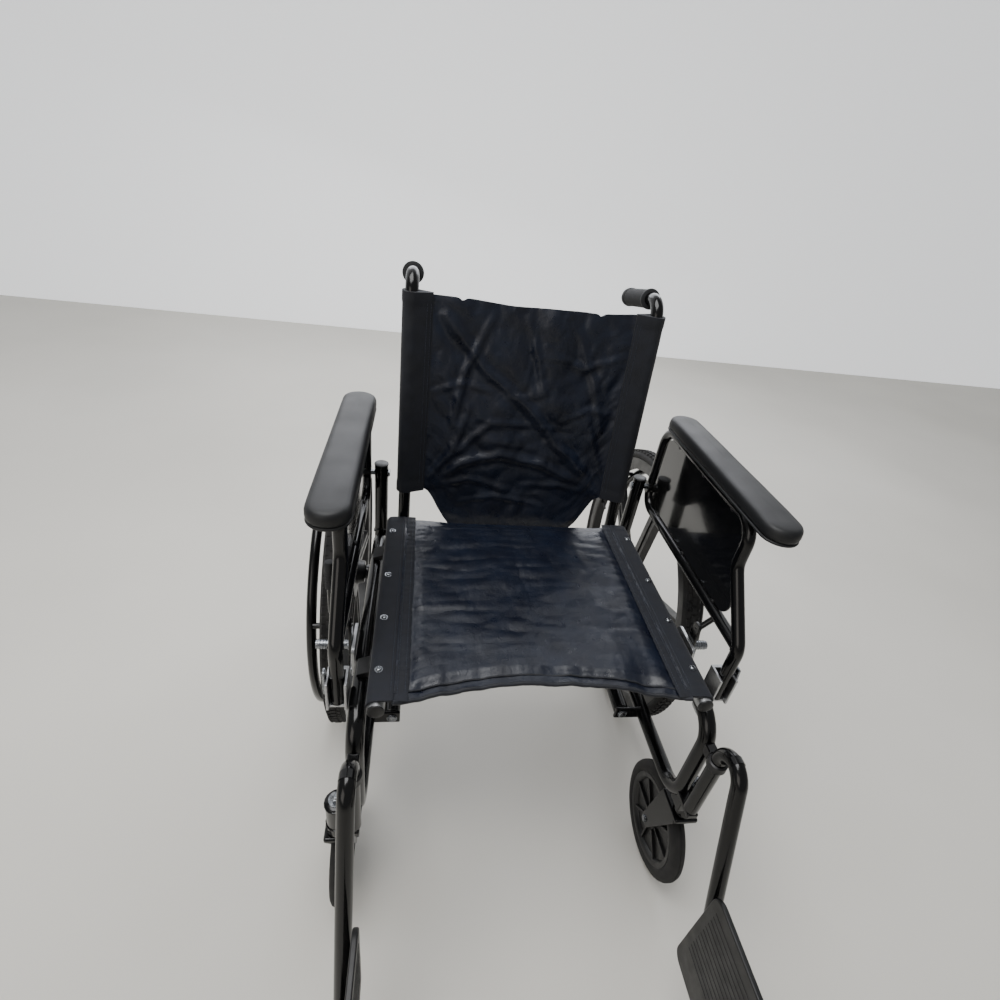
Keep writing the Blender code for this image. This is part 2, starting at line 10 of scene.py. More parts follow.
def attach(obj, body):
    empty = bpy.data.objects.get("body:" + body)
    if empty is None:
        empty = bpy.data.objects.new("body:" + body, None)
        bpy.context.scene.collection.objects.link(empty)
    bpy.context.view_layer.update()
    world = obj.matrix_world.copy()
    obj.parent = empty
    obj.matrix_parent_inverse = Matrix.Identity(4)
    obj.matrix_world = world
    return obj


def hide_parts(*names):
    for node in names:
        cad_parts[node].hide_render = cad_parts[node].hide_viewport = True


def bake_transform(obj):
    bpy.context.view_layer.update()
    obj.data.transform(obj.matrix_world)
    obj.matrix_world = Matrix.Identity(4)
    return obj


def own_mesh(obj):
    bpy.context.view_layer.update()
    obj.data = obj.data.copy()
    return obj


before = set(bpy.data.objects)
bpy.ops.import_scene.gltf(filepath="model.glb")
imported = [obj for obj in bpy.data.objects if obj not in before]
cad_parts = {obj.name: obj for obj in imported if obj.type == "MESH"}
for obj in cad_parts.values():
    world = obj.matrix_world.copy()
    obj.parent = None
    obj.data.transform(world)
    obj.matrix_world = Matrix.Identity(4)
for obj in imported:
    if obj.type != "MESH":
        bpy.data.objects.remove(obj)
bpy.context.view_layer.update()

# The chair's own sizes, in metres, as in the frame
FRAME_X, TUBE = 0.2535, 0.0125
FRONT_Y, REAR_Y = -0.246, 0.204
RAIL_LOW_Z, RAIL_HIGH_Z, UPRIGHT_TOP = 0.255, 0.445, 0.600
ARM_PIVOT = (0.204, 0.580)
SEAT_REAR_Y, SEAT_FRONT_Y = 0.174, -0.237
SEAT_RAIL, SEAT_RAIL_X, SEAT_RAIL_Z = 0.011, 0.2265, 0.4875
CANE, CANE_X, CANE_Y, CANE_BEND_Z = 0.011, 0.2095, 0.186, 0.50
CANE_TOP, HANDLE_END = (0.239, 0.929), (0.382, 0.9035)
LEAN = (CANE_TOP[0] - CANE_Y) / (CANE_TOP[1] - CANE_BEND_Z)
BRACE, BRACE_PIVOT_X, BRACE_PIVOT_Z, BRACE_Y, BRACE_OFFSET = 0.0125, 0.212, 0.255, -0.026, 0.0135
WHEEL, WHEEL_X, AXLE_Y = 0.305, 0.318, 0.241
HANDRIM, HANDRIM_TUBE, HANDRIM_X = 0.2575, 0.0085, 0.354
CASTER, CASTER_X, TRAIL = 0.100, 0.281, 0.045
ARM_X, ARM_TUBE, ARM_LOW_Z = 0.281, 0.0095, 0.545
ARM_PATH = [
    (-0.191, 0.4455), (-0.191, 0.545), (-0.116, 0.640), (-0.116, 0.711), (0.204, 0.711), (0.204, 0.545)
]
PAD_X, PAD_Y, PAD_Z = (0.259, 0.313), (-0.181, 0.189), (0.7215, 0.7475)
HANGER_Y, HANGER_TUBE = -0.281, 0.011
CROWN_Z = 0.2045
BARREL, BARREL_HALF = 0.014, 0.055
HANGER_PATH = [(-0.281, 0.292), (-0.281, 0.452), (-0.322, 0.452), (-0.435, 0.130), (-0.546, 0.130)]
SIDES = (("left", -1), ("right", 1))
SCREWS_FROM_REAR = (0.045, 0.167, 0.264, 0.360)
STITCH_STEP = 0.0046
# Columns and rows of the two cloths, and how long they fall
BACK_GRID, SEAT_GRID = (((86, 92), (100, 96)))
FALL_FRAMES = 32
# The camera: yaw, pitch and roll in degrees, its place, and its lens in millimetres
VIEW_TURN, VIEW_SPOT, VIEW_LENS = (10.71, 32.04, 8.38), (-0.1886, -0.6728, 1.0892), 19.06


# Materials
def linear(code):
    """An sRGB hex colour as linear RGBA."""
    parts = [int(code[i : i + 2], 16) / 255 for i in (1, 3, 5)]
    return [c / 12.92 if c <= 0.04045 else ((c + 0.055) / 1.055) ** 2.4 for c in parts] + [1.0]


def add(tree, kind, settings=None, **inputs):
    """Adds a node. An input is a value or a socket to link; a trailing number picks a repeated name."""
    made = tree.nodes.new(kind)
    for key, value in (settings or {}).items():
        setattr(made, key, value)
    for key, value in inputs.items():
        socket = made.inputs[int(key[1:]) if key[0] == "i" and key[1:].isdigit() else key.replace("_", " ")]
        if isinstance(value, bpy.types.NodeSocket):
            tree.links.new(value, socket)
        else:
            socket.default_value = value
    return made


def finish(name, base, roughness, **sockets):
    """A Principled material. sockets are the shader's own inputs, with _ for a space."""
    made = bpy.data.materials.new(name)
    made.use_nodes = True
    tree = made.node_tree
    shader = tree.nodes["Principled BSDF"]
    shader.inputs["Base Color"].default_value = linear(base)
    shader.inputs["Roughness"].default_value = roughness
    for key, value in sockets.items():
        shader.inputs[key.replace("_", " ")].default_value = value
    return made, tree, shader


def place(tree, what="Object"):
    return tree.nodes.new("ShaderNodeTexCoord").outputs[what]


def tint(tree, shader, where, low, high, size_mm, detail=3.0):
    """Slow change of colour between two hex values, over patches of this size."""
    spots = add(tree, "ShaderNodeTexNoise", Vector=where, Scale=1000 / size_mm, Detail=detail)
    ramp = add(tree, "ShaderNodeValToRGB", Fac=spots.outputs["Fac"])
    ramp.color_ramp.elements[0].position, ramp.color_ramp.elements[1].position = 0.3, 0.7
    ramp.color_ramp.elements[0].color, ramp.color_ramp.elements[1].color = linear(low), linear(high)
    tree.links.new(ramp.outputs["Color"], shader.inputs["Base Color"])


def rough(tree, shader, where, low, high, size_mm):
    """Roughness that drifts between two values, over patches of this size."""
    spots = add(tree, "ShaderNodeTexNoise", Vector=where, Scale=1000 / size_mm, Detail=4.0)
    spread = add(tree, "ShaderNodeMapRange", Value=spots.outputs["Fac"], From_Min=0.3, From_Max=0.7)
    spread.inputs["To Min"].default_value, spread.inputs["To Max"].default_value = low, high
    tree.links.new(spread.outputs["Result"], shader.inputs["Roughness"])


def relief(tree, shader, height, depth_mm, strength=1.0):
    """Bump from a height socket, this deep."""
    bump = add(tree, "ShaderNodeBump", Strength=strength, Distance=depth_mm / 1000, Height=height)
    tree.links.new(bump.outputs["Normal"], shader.inputs["Normal"])


def grains(tree, where, size_mm):
    return add(
        tree, "ShaderNodeTexVoronoi", {"feature": "SMOOTH_F1"}, Vector=where, Scale=1000 / size_mm
    ).outputs[0]


def threads(tree, where, pitch_mm):
    """Height of a plain weave on x and y, with threads this far apart."""
    scale = 1000 / pitch_mm / 2
    turn = {"wave_type": "BANDS", "wave_profile": "SIN"}
    warp = add(tree, "ShaderNodeTexWave", {**turn, "bands_direction": "X"}, Vector=where, Scale=scale * 0.628)
    weft = add(tree, "ShaderNodeTexWave", {**turn, "bands_direction": "Y"}, Vector=where, Scale=scale * 0.628)
    both = add(
        tree, "ShaderNodeMath", {"operation": "MULTIPLY"}, i0=warp.outputs["Fac"], i1=weft.outputs["Fac"]
    )
    return both.outputs[0]


def powder_paint():
    """Gloss black powder coat on steel tube: deep black, a sharp highlight with a faint orange peel."""
    made, tree, shader = finish("gloss_powder_coat", "#050506", 0.16, Specular_IOR_Level=0.38)
    where = place(tree)
    tint(tree, shader, where, "#040405", "#0A0A0B", 60)
    rough(tree, shader, where, 0.11, 0.22, 35)
    peel = add(tree, "ShaderNodeTexNoise", Vector=where, Scale=450.0, Detail=2.0)
    relief(tree, shader, peel.outputs["Fac"], 0.05, 0.35)
    return made


def bright_plating():
    """Zinc or chrome plating on screws and nuts: mid grey and lightly smeared."""
    made, tree, shader = finish("bright_plated_steel", "#8A8D91", 0.22, Metallic=1.0)
    where = place(tree)
    tint(tree, shader, where, "#74777B", "#989B9F", 6)
    rough(tree, shader, where, 0.16, 0.34, 5)
    return made


def cast_alloy():
    """Satin die-cast alloy brackets: pale grey with a fine blasted skin."""
    made, tree, shader = finish("satin_cast_alloy", "#B9BABC", 0.36, Metallic=1.0)
    where = place(tree)
    tint(tree, shader, where, "#ABACAE", "#BDBEBF", 5)
    rough(tree, shader, where, 0.33, 0.42, 6)
    relief(tree, shader, grains(tree, where, 0.7), 0.03, 0.4)
    return made


def coated_nylon():
    """Coated nylon taffeta of the sling: navy-black, shiny, with broad soft highlights on each crease."""
    made, tree, shader = finish("coated_nylon", "#0B1120", 0.33, Sheen_Weight=0.04, Sheen_Roughness=0.4)
    where = place(tree, "UV")
    tint(tree, shader, where, "#080D1B", "#101828", 45)
    rough(tree, shader, where, 0.26, 0.42, 20)
    # The real thread pitch is 0.25 mm; it is drawn at 1.1 mm, which is the finest that shows.
    weave = threads(tree, where, 1.1)
    crinkle = add(tree, "ShaderNodeTexNoise", Vector=where, Scale=110.0, Detail=5.0, Distortion=1.2)
    mixed = add(
        tree, "ShaderNodeMath", {"operation": "MULTIPLY_ADD"}, i0=crinkle.outputs["Fac"], i1=6.0, i2=weave
    )
    relief(tree, shader, mixed.outputs[0], 0.14, 0.55)
    return made


def woven_band(name, dark, pale):
    """Matt webbing cloth of the sleeves and edge strips: darker, with a visible weave and some lint."""
    made, tree, shader = finish(name, dark, 0.78, Sheen_Weight=0.06, Sheen_Roughness=0.5)
    where = place(tree)
    tint(tree, shader, where, dark, pale, 25)
    relief(tree, shader, threads(tree, where, 1.3), 0.18, 0.7)
    return made


def binding_tape():
    """Ribbed binding tape on the seat's front edge."""
    made, tree, shader = finish("ribbed_binding_tape", "#0A0C12", 0.62, Sheen_Weight=0.06)
    where = place(tree)
    tint(tree, shader, where, "#070A12", "#0E121D", 18)
    relief(tree, shader, threads(tree, where, 1.6), 0.2, 0.8)
    return made


def moulded_skin():
    """Self-skinned urethane foam of the arm pads: dark grey, soft sheen, fine leather grain."""
    made, tree, shader = finish("urethane_arm_pad", "#141517", 0.50, Specular_IOR_Level=0.4)
    where = place(tree)
    tint(tree, shader, where, "#101113", "#141517", 60)
    rough(tree, shader, where, 0.46, 0.54, 50)
    relief(tree, shader, grains(tree, where, 1.5), 0.12, 0.6)
    return made


def ribbed_rubber():
    """Moulded grip rubber: dark grey, dull, slightly dusty."""
    made, tree, shader = finish("moulded_grip_rubber", "#26272A", 0.74)
    where = place(tree)
    tint(tree, shader, where, "#151617", "#222326", 14)
    relief(tree, shader, grains(tree, where, 1.0), 0.06, 0.5)
    return made


def tyre_rubber():
    """Tyre tread rubber: near black, dull, greyer where dust sits."""
    made, tree, shader = finish("tyre_rubber", "#1B1B1C", 0.86)
    where = place(tree)
    tint(tree, shader, where, "#151516", "#2B2A29", 28, 5.0)
    relief(tree, shader, grains(tree, where, 1.1), 0.08, 0.5)
    return made


def moulded_nylon(name, dark, pale, low, high):
    """Glass-filled nylon moulding: satin black with a fine spark-eroded grain."""
    made, tree, shader = finish(name, dark, low)
    where = place(tree)
    tint(tree, shader, where, dark, pale, 50)
    rough(tree, shader, where, low, high, 25)
    relief(tree, shader, grains(tree, where, 0.8), 0.05, 0.5)
    return made


def gloss_sheet():
    """Acrylic-faced skirt panel: gloss black, nearly flat, with faint polishing haze."""
    made, tree, shader = finish("gloss_skirt_sheet", "#0A0A0B", 0.09, Coat_Weight=0.4, Coat_Roughness=0.05)
    where = place(tree)
    tint(tree, shader, where, "#09090A", "#101010", 70)
    rough(tree, shader, where, 0.06, 0.16, 45)
    return made


def sewing_thread():
    """Bonded polyester thread, one shade paler than the cloth."""
    made, tree, shader = finish("bonded_thread", "#262B36", 0.6)
    tint(tree, shader, place(tree), "#1F242F", "#2F3542", 3)
    return made


PAINT, PLATED, ALLOY = powder_paint(), bright_plating(), cast_alloy()
NYLON = coated_nylon()
SLEEVE = woven_band("matt_sleeve_cloth", "#070A13", "#0D111C")
STRIP = woven_band("matt_edge_strip", "#070A14", "#0D121E")
TAPE, THREAD, PAD_SKIN = binding_tape(), sewing_thread(), moulded_skin()
GRIP, TYRE, SKIRT = ribbed_rubber(), tyre_rubber(), gloss_sheet()
MOULDED = moulded_nylon("moulded_nylon_fittings", "#0C0C0D", "#141416", 0.36, 0.55)
MAG = moulded_nylon("moulded_wheel_composite", "#0A0A0B", "#121213", 0.30, 0.48)


# Meshes
def piece(name, mesh, material, body=None, stands_for=(), soft=40, outward=True):
    """Makes a mesh an object in the row frame, smooth on round parts, riding on a body."""
    if outward:
        bmesh.ops.recalc_face_normals(mesh, faces=mesh.faces)
    data = bpy.data.meshes.new(name)
    mesh.to_mesh(data)
    mesh.free()
    data.shade_smooth()
    data.set_sharp_from_angle(angle=math.radians(soft))
    data.materials.append(material)
    made = bpy.data.objects.new(name, data)
    bpy.context.scene.collection.objects.link(made)
    if body:
        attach(made, body)
    if stands_for:
        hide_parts(*stands_for)
    return made


def rounded(points, radius, closed=False, step=9):
    """The points with each corner turned into an arc of this radius, in steps of so many degrees."""
    points = [Vector(p) for p in points]
    out = []
    for i, corner in enumerate(points):
        if not closed and i in (0, len(points) - 1):
            out.append(corner)
            continue
        before = (points[i - 1] - corner).normalized()
        after = (points[(i + 1) % len(points)] - corner).normalized()
        turn = math.pi - before.angle(after)
        if turn < 0.02:
            out.append(corner)
            continue
        reach = radius * math.tan(turn / 2)
        centre = corner + (before + after).normalized() * radius / math.cos(turn / 2)
        start = (corner + before * reach - centre).normalized()
        end = (corner + after * reach - centre).normalized()
        steps = max(3, round(math.degrees(turn) / step))
        out += [centre + start.slerp(end, k / steps) * radius for k in range(steps + 1)]
    return out


def rounded_loop(corners, radius, step=12):
    """A closed loop of (u, v) corners, each turned into an arc."""
    return [(p.x, p.y) for p in rounded([(u, v, 0) for u, v in corners], radius, closed=True, step=step)]


def mirrored(half):
    """A turned profile from its left half."""
    return half + [(-distance, radius) for distance, radius in reversed(half)]


def skin(mesh, rings, closed=False):
    """Joins each ring of vertices to the next. A closed skin joins up; an open one has both ends filled."""
    count = len(rings[0])
    for here, there in zip(rings, rings[1:] + (rings[:1] if closed else [])):
        for k in range(count):
            mesh.faces.new((here[k], here[(k + 1) % count], there[(k + 1) % count], there[k]))
    if not closed:
        mesh.faces.new(rings[0])
        mesh.faces.new(rings[-1])
    return mesh


def bar(path, radius, closed=False, sides=24, mesh=None):
    """A round bar along a path. radius is a number, or one for each point."""
    mesh = mesh or bmesh.new()
    path = [Vector(p) for p in path]
    radii = radius if isinstance(radius, (list, tuple)) else [radius] * len(path)
    rings, normal, last, count = [], None, None, len(path)
    for i, point in enumerate(path):
        before = path[i - 1] if closed or i else point
        after = path[(i + 1) % count] if closed or i < count - 1 else point
        along = (after - before).normalized()
        if normal is None:
            normal = Vector((1, 0, 0)) if abs(along.x) < 0.5 else Vector((0, 0, 1))
            normal = (normal - along * normal.dot(along)).normalized()
        else:
            normal = last.rotation_difference(along) @ normal
        last, across = along, along.cross(normal)
        turns = [math.tau * k / sides for k in range(sides)]
        rings.append(
            [mesh.verts.new(point + (normal * math.cos(a) + across * math.sin(a)) * radii[i]) for a in turns]
        )
    return skin(mesh, rings, closed)


def turned(profile, centre, axis, segments=48, ring=False, mesh=None):
    """A turned shape: profile points are (distance along the axis, radius)."""
    mesh = mesh or bmesh.new()
    centre, along = Vector(centre), Vector(axis).normalized()
    first = Vector((0, 0, 1)) if abs(along.z) < 0.9 else Vector((1, 0, 0))
    first = (first - along * first.dot(along)).normalized()
    second = along.cross(first)
    rows = []
    for distance, radius in profile:
        turns = [math.tau * k / segments for k in range(segments)]
        spokes = [first * math.cos(a) + second * math.sin(a) for a in turns]
        rows.append([mesh.verts.new(centre + along * distance + spoke * radius) for spoke in spokes])
    return skin(mesh, rows, ring)


def plate(outline, holes, across, low, high):
    """A flat plate with holes. across is the thin axis, 0 for X, 1 for Y or 2 for Z."""
    own = bmesh.new()
    for loop in [outline, *holes]:
        spots = [((low, u, v), (u, low, v), (u, v, low))[across] for u, v in loop]
        verts = [own.verts.new(spot) for spot in spots]
        for k, vert in enumerate(verts):
            own.edges.new((vert, verts[(k + 1) % len(verts)]))
    bmesh.ops.triangle_fill(own, edges=own.edges[:], use_beauty=True)
    grown = bmesh.ops.extrude_face_region(own, geom=own.faces[:])
    move = Vector((0, 0, 0))
    move[across] = high - low
    bmesh.ops.translate(own, vec=move, verts=[g for g in grown["geom"] if isinstance(g, bmesh.types.BMVert)])
    bmesh.ops.dissolve_limit(own, angle_limit=0.01, verts=own.verts[:], edges=own.edges[:])
    return own


def circle(u, v, radius, count=24):
    return [
        (u + radius * math.cos(math.tau * k / count), v + radius * math.sin(math.tau * k / count))
        for k in range(count)
    ]


def merge(mesh, part):
    """Adds a part to a mesh."""
    data = bpy.data.meshes.new("part")
    part.to_mesh(data)
    mesh.from_mesh(data)
    bpy.data.meshes.remove(data)
    part.free()


def soften(made, width=0.001, segments=2):
    """Rounds the sharp edges of a plate or casting."""
    edge = made.modifiers.new("rounded_edges", "BEVEL")
    edge.width, edge.segments = width, segments
    edge.limit_method, edge.angle_limit = "ANGLE", math.radians(35)
    edge.harden_normals = True
    return made


def block(low, high):
    outline = [(low[0], low[1]), (high[0], low[1]), (high[0], high[1]), (low[0], high[1])]
    return plate(outline, [], 2, low[2], high[2])


# Repeats made by Geometry Nodes
def tree_with(name, sockets):
    """A Geometry Nodes tree with named inputs and its end nodes, ready for its middle."""
    tree = bpy.data.node_groups.new(name, "GeometryNodeTree")
    tree.interface.new_socket("Geometry", in_out="INPUT", socket_type="NodeSocketGeometry")
    for label, kind in sockets:
        tree.interface.new_socket(label, in_out="INPUT", socket_type=kind)
    tree.interface.new_socket("Geometry", in_out="OUTPUT", socket_type="NodeSocketGeometry")
    return tree, tree.nodes.new("NodeGroupInput"), tree.nodes.new("NodeGroupOutput")


def close_tree(tree, start, end, instances):
    real = add(tree, "GeometryNodeRealizeInstances", Geometry=instances)
    done = add(tree, "GeometryNodeSetMaterial", Geometry=real.outputs[0], Material=start.outputs["Finish"])
    tree.links.new(done.outputs[0], end.inputs[0])
    return tree


def round_the_axle_tree():
    """Copies of a piece round an axle along X, each with its own Z pointing outwards."""
    sockets = [("Count", "NodeSocketInt"), ("Radius", "NodeSocketFloat"), ("Start", "NodeSocketFloat")]
    sockets += [("Piece", "NodeSocketObject"), ("Finish", "NodeSocketMaterial")]
    tree, start, end = tree_with("round_the_axle", sockets)
    ring = add(
        tree, "GeometryNodeMeshCircle", Vertices=start.outputs["Count"], Radius=start.outputs["Radius"]
    )
    turn = add(tree, "ShaderNodeCombineXYZ", X=start.outputs["Start"])
    upright = add(tree, "GeometryNodeTransform", Geometry=ring.outputs[0], Rotation=(0, math.pi / 2, 0))
    turned_ring = add(tree, "GeometryNodeTransform", Geometry=upright.outputs[0], Rotation=turn.outputs[0])
    where = tree.nodes.new("GeometryNodeInputPosition")
    facing = add(
        tree, "FunctionNodeAlignRotationToVector", {"axis": "Z", "pivot_axis": "X"}, Vector=where.outputs[0]
    )
    shape = add(tree, "GeometryNodeObjectInfo", Object=start.outputs["Piece"])
    copies = add(
        tree, "GeometryNodeInstanceOnPoints", Points=turned_ring.outputs[0], Rotation=facing.outputs[0]
    )
    tree.links.new(shape.outputs["Geometry"], copies.inputs["Instance"])
    return close_tree(tree, start, end, copies.outputs[0])


def along_a_line_tree():
    """Copies of a piece along a line at equal steps, each with its own X along the line and Z facing up."""
    sockets = [
        ("Spacing", "NodeSocketFloat"), ("Piece", "NodeSocketObject"), ("Finish", "NodeSocketMaterial")
    ]
    tree, start, end = tree_with("along_a_line", sockets)
    line = add(tree, "GeometryNodeMeshToCurve", Mesh=start.outputs["Geometry"])
    steps = add(tree, "GeometryNodeCurveToPoints", {"mode": "LENGTH"}, Curve=line.outputs[0])
    tree.links.new(start.outputs["Spacing"], steps.inputs["Length"])
    facing = add(tree, "FunctionNodeAlignRotationToVector", {"axis": "X"}, Vector=steps.outputs["Tangent"])
    shape = add(tree, "GeometryNodeObjectInfo", Object=start.outputs["Piece"])
    copies = add(
        tree, "GeometryNodeInstanceOnPoints", Points=steps.outputs["Points"], Rotation=facing.outputs[0]
    )
    tree.links.new(shape.outputs["Geometry"], copies.inputs["Instance"])
    return close_tree(tree, start, end, copies.outputs[0])


ROUND_AXLE, ALONG_LINE = round_the_axle_tree(), along_a_line_tree()


def repeat(name, tree, carrier, material, values, body, move=(0, 0, 0)):
    """Runs a repeat tree on a carrier mesh and keeps the result as a plain mesh, moved into place."""
    holder = piece(f"{name}_carrier", carrier, material)
    change = holder.modifiers.new(tree.name, "NODES")
    change.node_group = tree
    for item in tree.interface.items_tree:
        if item.in_out == "INPUT" and item.name in values:
            change[item.identifier] = values[item.name]
        if item.in_out == "INPUT" and item.name == "Finish":
            change[item.identifier] = material
    holder.update_tag()
    graph = bpy.context.evaluated_depsgraph_get()
    data = bpy.data.meshes.new_from_object(holder.evaluated_get(graph), depsgraph=graph)
    bpy.data.objects.remove(holder)
    bpy.data.objects.remove(values["Piece"])
    data.name = name
    data.transform(Matrix.Translation(Vector(move)))
    for face in data.polygons:
        face.use_smooth = True
    data.set_sharp_from_angle(angle=math.radians(40))
    made = bpy.data.objects.new(name, data)
    bpy.context.scene.collection.objects.link(made)
    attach(made, body)
    return made


def round_axle(name, unit, material, count, radius, start, centre, body):
    shape = piece(f"{name}_unit", unit, material)
    values = {"Count": count, "Radius": radius, "Start": math.radians(start), "Piece": shape}
    spot = bmesh.new()
    spot.verts.new((0, 0, 0))
    return repeat(name, ROUND_AXLE, spot, material, values, body, centre)


def along_line(name, unit, material, points, spacing, body):
    shape = piece(f"{name}_unit", unit, material)
    line = bmesh.new()
    verts = [line.verts.new(p) for p in points]
    for one, two in zip(verts, verts[1:]):
        line.edges.new((one, two))
    return repeat(name, ALONG_LINE, line, material, {"Spacing": spacing, "Piece": shape}, body)


def stitch():
    """One sewing stitch, 3.2 mm long, half sunk in the cloth."""
    return bar(
        [(-0.0016, 0, -0.0002), (-0.0010, 0, 0.0002), (0.0010, 0, 0.0002), (0.0016, 0, -0.0002)], 0.00042,
        sides=6
    )


def bead(name, points, size, body):
    """A closed weld bead whose ripples follow each other round a joint."""
    radii = [size * (1 + 0.16 * math.sin(k * math.tau / 3)) for k in range(len(points))]
    return piece(name, bar(points, radii, closed=True, sides=8), PAINT, body)


def tee_bead(name, spot, radius, onto, up, run, body, size=0.0018):
    """A bead where a tube of radius lands on one of radius onto. up leaves the joint, run goes along."""
    spot, up, run = Vector(spot), Vector(up).normalized(), Vector(run).normalized()
    side = up.cross(run)
    points = []
    for k in range(72):
        angle = math.tau * k / 72
        along, across = radius * math.cos(angle), radius * math.sin(angle)
        rise = math.sqrt(max(onto * onto - across * across, 0)) * 0.99
        points.append(spot + run * along + side * across + up * rise)
    return bead(name, points, size, body)


def pan_head(radius, high):
    """A pan-head screw along its Z, its recess shown as a raised rim round a dark dimple."""
    profile = [
        (-high * 0.6, radius * 0.5), (0, radius * 0.98), (high * 0.45, radius), (high * 0.85, radius * 0.8)
    ]
    profile += [(high, radius * 0.5), (high, radius * 0.34), (high * 0.55, radius * 0.22)]
    return turned(profile, (0, 0, 0), (0, 0, 1), 20)


def hex_bolt(name, spot, axis, size, thick, body):
    """A hexagon head on a washer with a domed end, facing along axis."""
    mesh = turned([(0.0008, size), (thick * 0.9, size), (thick, size * 0.86)], spot, axis, 6)
    turned([(0, size * 1.28), (0.0010, size * 1.28)], spot, axis, 28, mesh=mesh)
    dome = [(thick * 0.8, size * 0.5), (thick + 0.0018, size * 0.5), (thick + 0.0026, size * 0.36)]
    turned(dome, spot, axis, 20, mesh=mesh)
    return soften(piece(name, mesh, PLATED, body, soft=30), 0.0004)


def end_cap(name, spot, axis, radius, body, deep=0.004):
    """A moulded plug in a tube's end."""
    profile = [
        (-0.006, radius * 0.8), (0, radius * 0.99), (0.0006, radius * 1.05), (deep * 0.6, radius * 1.02)
    ]
    profile += [(deep * 0.9, radius * 0.8), (deep, radius * 0.4)]
    return piece(name, turned(profile, spot, axis, 28), MOULDED, body)


# Frame
def side_frame(side, s, body):
    x = s * FRAME_X
    corners = [(REAR_Y, RAIL_LOW_Z), (FRONT_Y, RAIL_LOW_Z), (FRONT_Y, RAIL_HIGH_Z), (REAR_Y, RAIL_HIGH_Z)]
    tubes = bar(rounded([(x, y, z) for y, z in corners], 0.045, closed=True), TUBE, closed=True, sides=28)
    bar([(x, REAR_Y, RAIL_LOW_Z + 0.01), (x, REAR_Y, UPRIGHT_TOP - 0.003)], TUBE * 0.99, mesh=tubes, sides=28)
    ends = [(0.2180, 0.0150), (0.2192, 0.0165), (0.2908, 0.0165), (0.2920, 0.0150)]
    turned(ends, (s * CASTER_X, FRONT_Y, 0), (0, 0, 1), 32, mesh=tubes)
    piece(f"frame_tubes_{side}", tubes, PAINT, body, [f"side_frame_{side}"])
    end_cap(f"upright_plug_{side}", (x, REAR_Y, UPRIGHT_TOP - 0.003), (0, 0, 1), TUBE, body)
    for label, low, high in (
        ("caster_gusset", (0.2560, FRONT_Y - 0.014, 0.238), (0.2800, FRONT_Y + 0.014, 0.286)),
        ("axle_plate", (0.2570, 0.187, 0.272), (0.2742, 0.264, 0.338)),
        ("hanger_lug", (FRAME_X - 0.009, HANGER_Y - 0.011, 0.2810), (FRAME_X + 0.009, FRONT_Y, 0.2905)),
        (
            "hanger_cradle", (FRAME_X - 0.008, HANGER_Y + HANGER_TUBE + 0.0006, 0.400),
            (FRAME_X + 0.008, FRONT_Y, 0.418)
        ),
        ("brace_lug_front", (0.198, BRACE_Y - 0.0620, 0.242), (0.2490, BRACE_Y - 0.0560, 0.268)),
        ("brace_lug_rear", (0.198, BRACE_Y + 0.0560, 0.242), (0.2490, BRACE_Y + 0.0620, 0.268)),
    ):
        lug = block((s * low[0], *low[1:]), (s * high[0], *high[1:]))
        soften(piece(f"{label}_{side}", lug, PAINT, body), 0.002, 3)
    boss = [(0.270, 0.0150), (0.2712, 0.016), (0.2880, 0.016), (0.2892, 0.0148)]
    piece(f"axle_boss_{side}", turned(boss, (0, AXLE_Y, WHEEL), (s, 0, 0), 32), PAINT, body)
    pin = [(0.286, 0.004), (0.3045, 0.004), (0.3060, 0.0028)]
    piece(f"hanger_pin_{side}", turned(pin, (x, HANGER_Y, 0), (0, 0, 1), 16), PLATED, body)
    tee_bead(f"weld_upright_low_{side}", (x, REAR_Y, RAIL_LOW_Z), TUBE, TUBE, (0, 0, 1), (0, 1, 0), body)
    tee_bead(f"weld_upright_high_{side}", (x, REAR_Y, RAIL_HIGH_Z), TUBE, TUBE, (0, 0, 1), (0, 1, 0), body)
    for label, z in (("low", 0.2375), ("high", 0.2870)):
        ring = []
        for k in range(60):
            angle = math.tau * k / 60
            across, along = 0.0166 * math.cos(angle), 0.0166 * math.sin(angle)
            ring.append((s * CASTER_X + across, FRONT_Y + along, z + 0.0006 * math.sin(3 * angle)))
        bead(f"weld_gusset_{label}_{side}", ring, 0.0015, body)


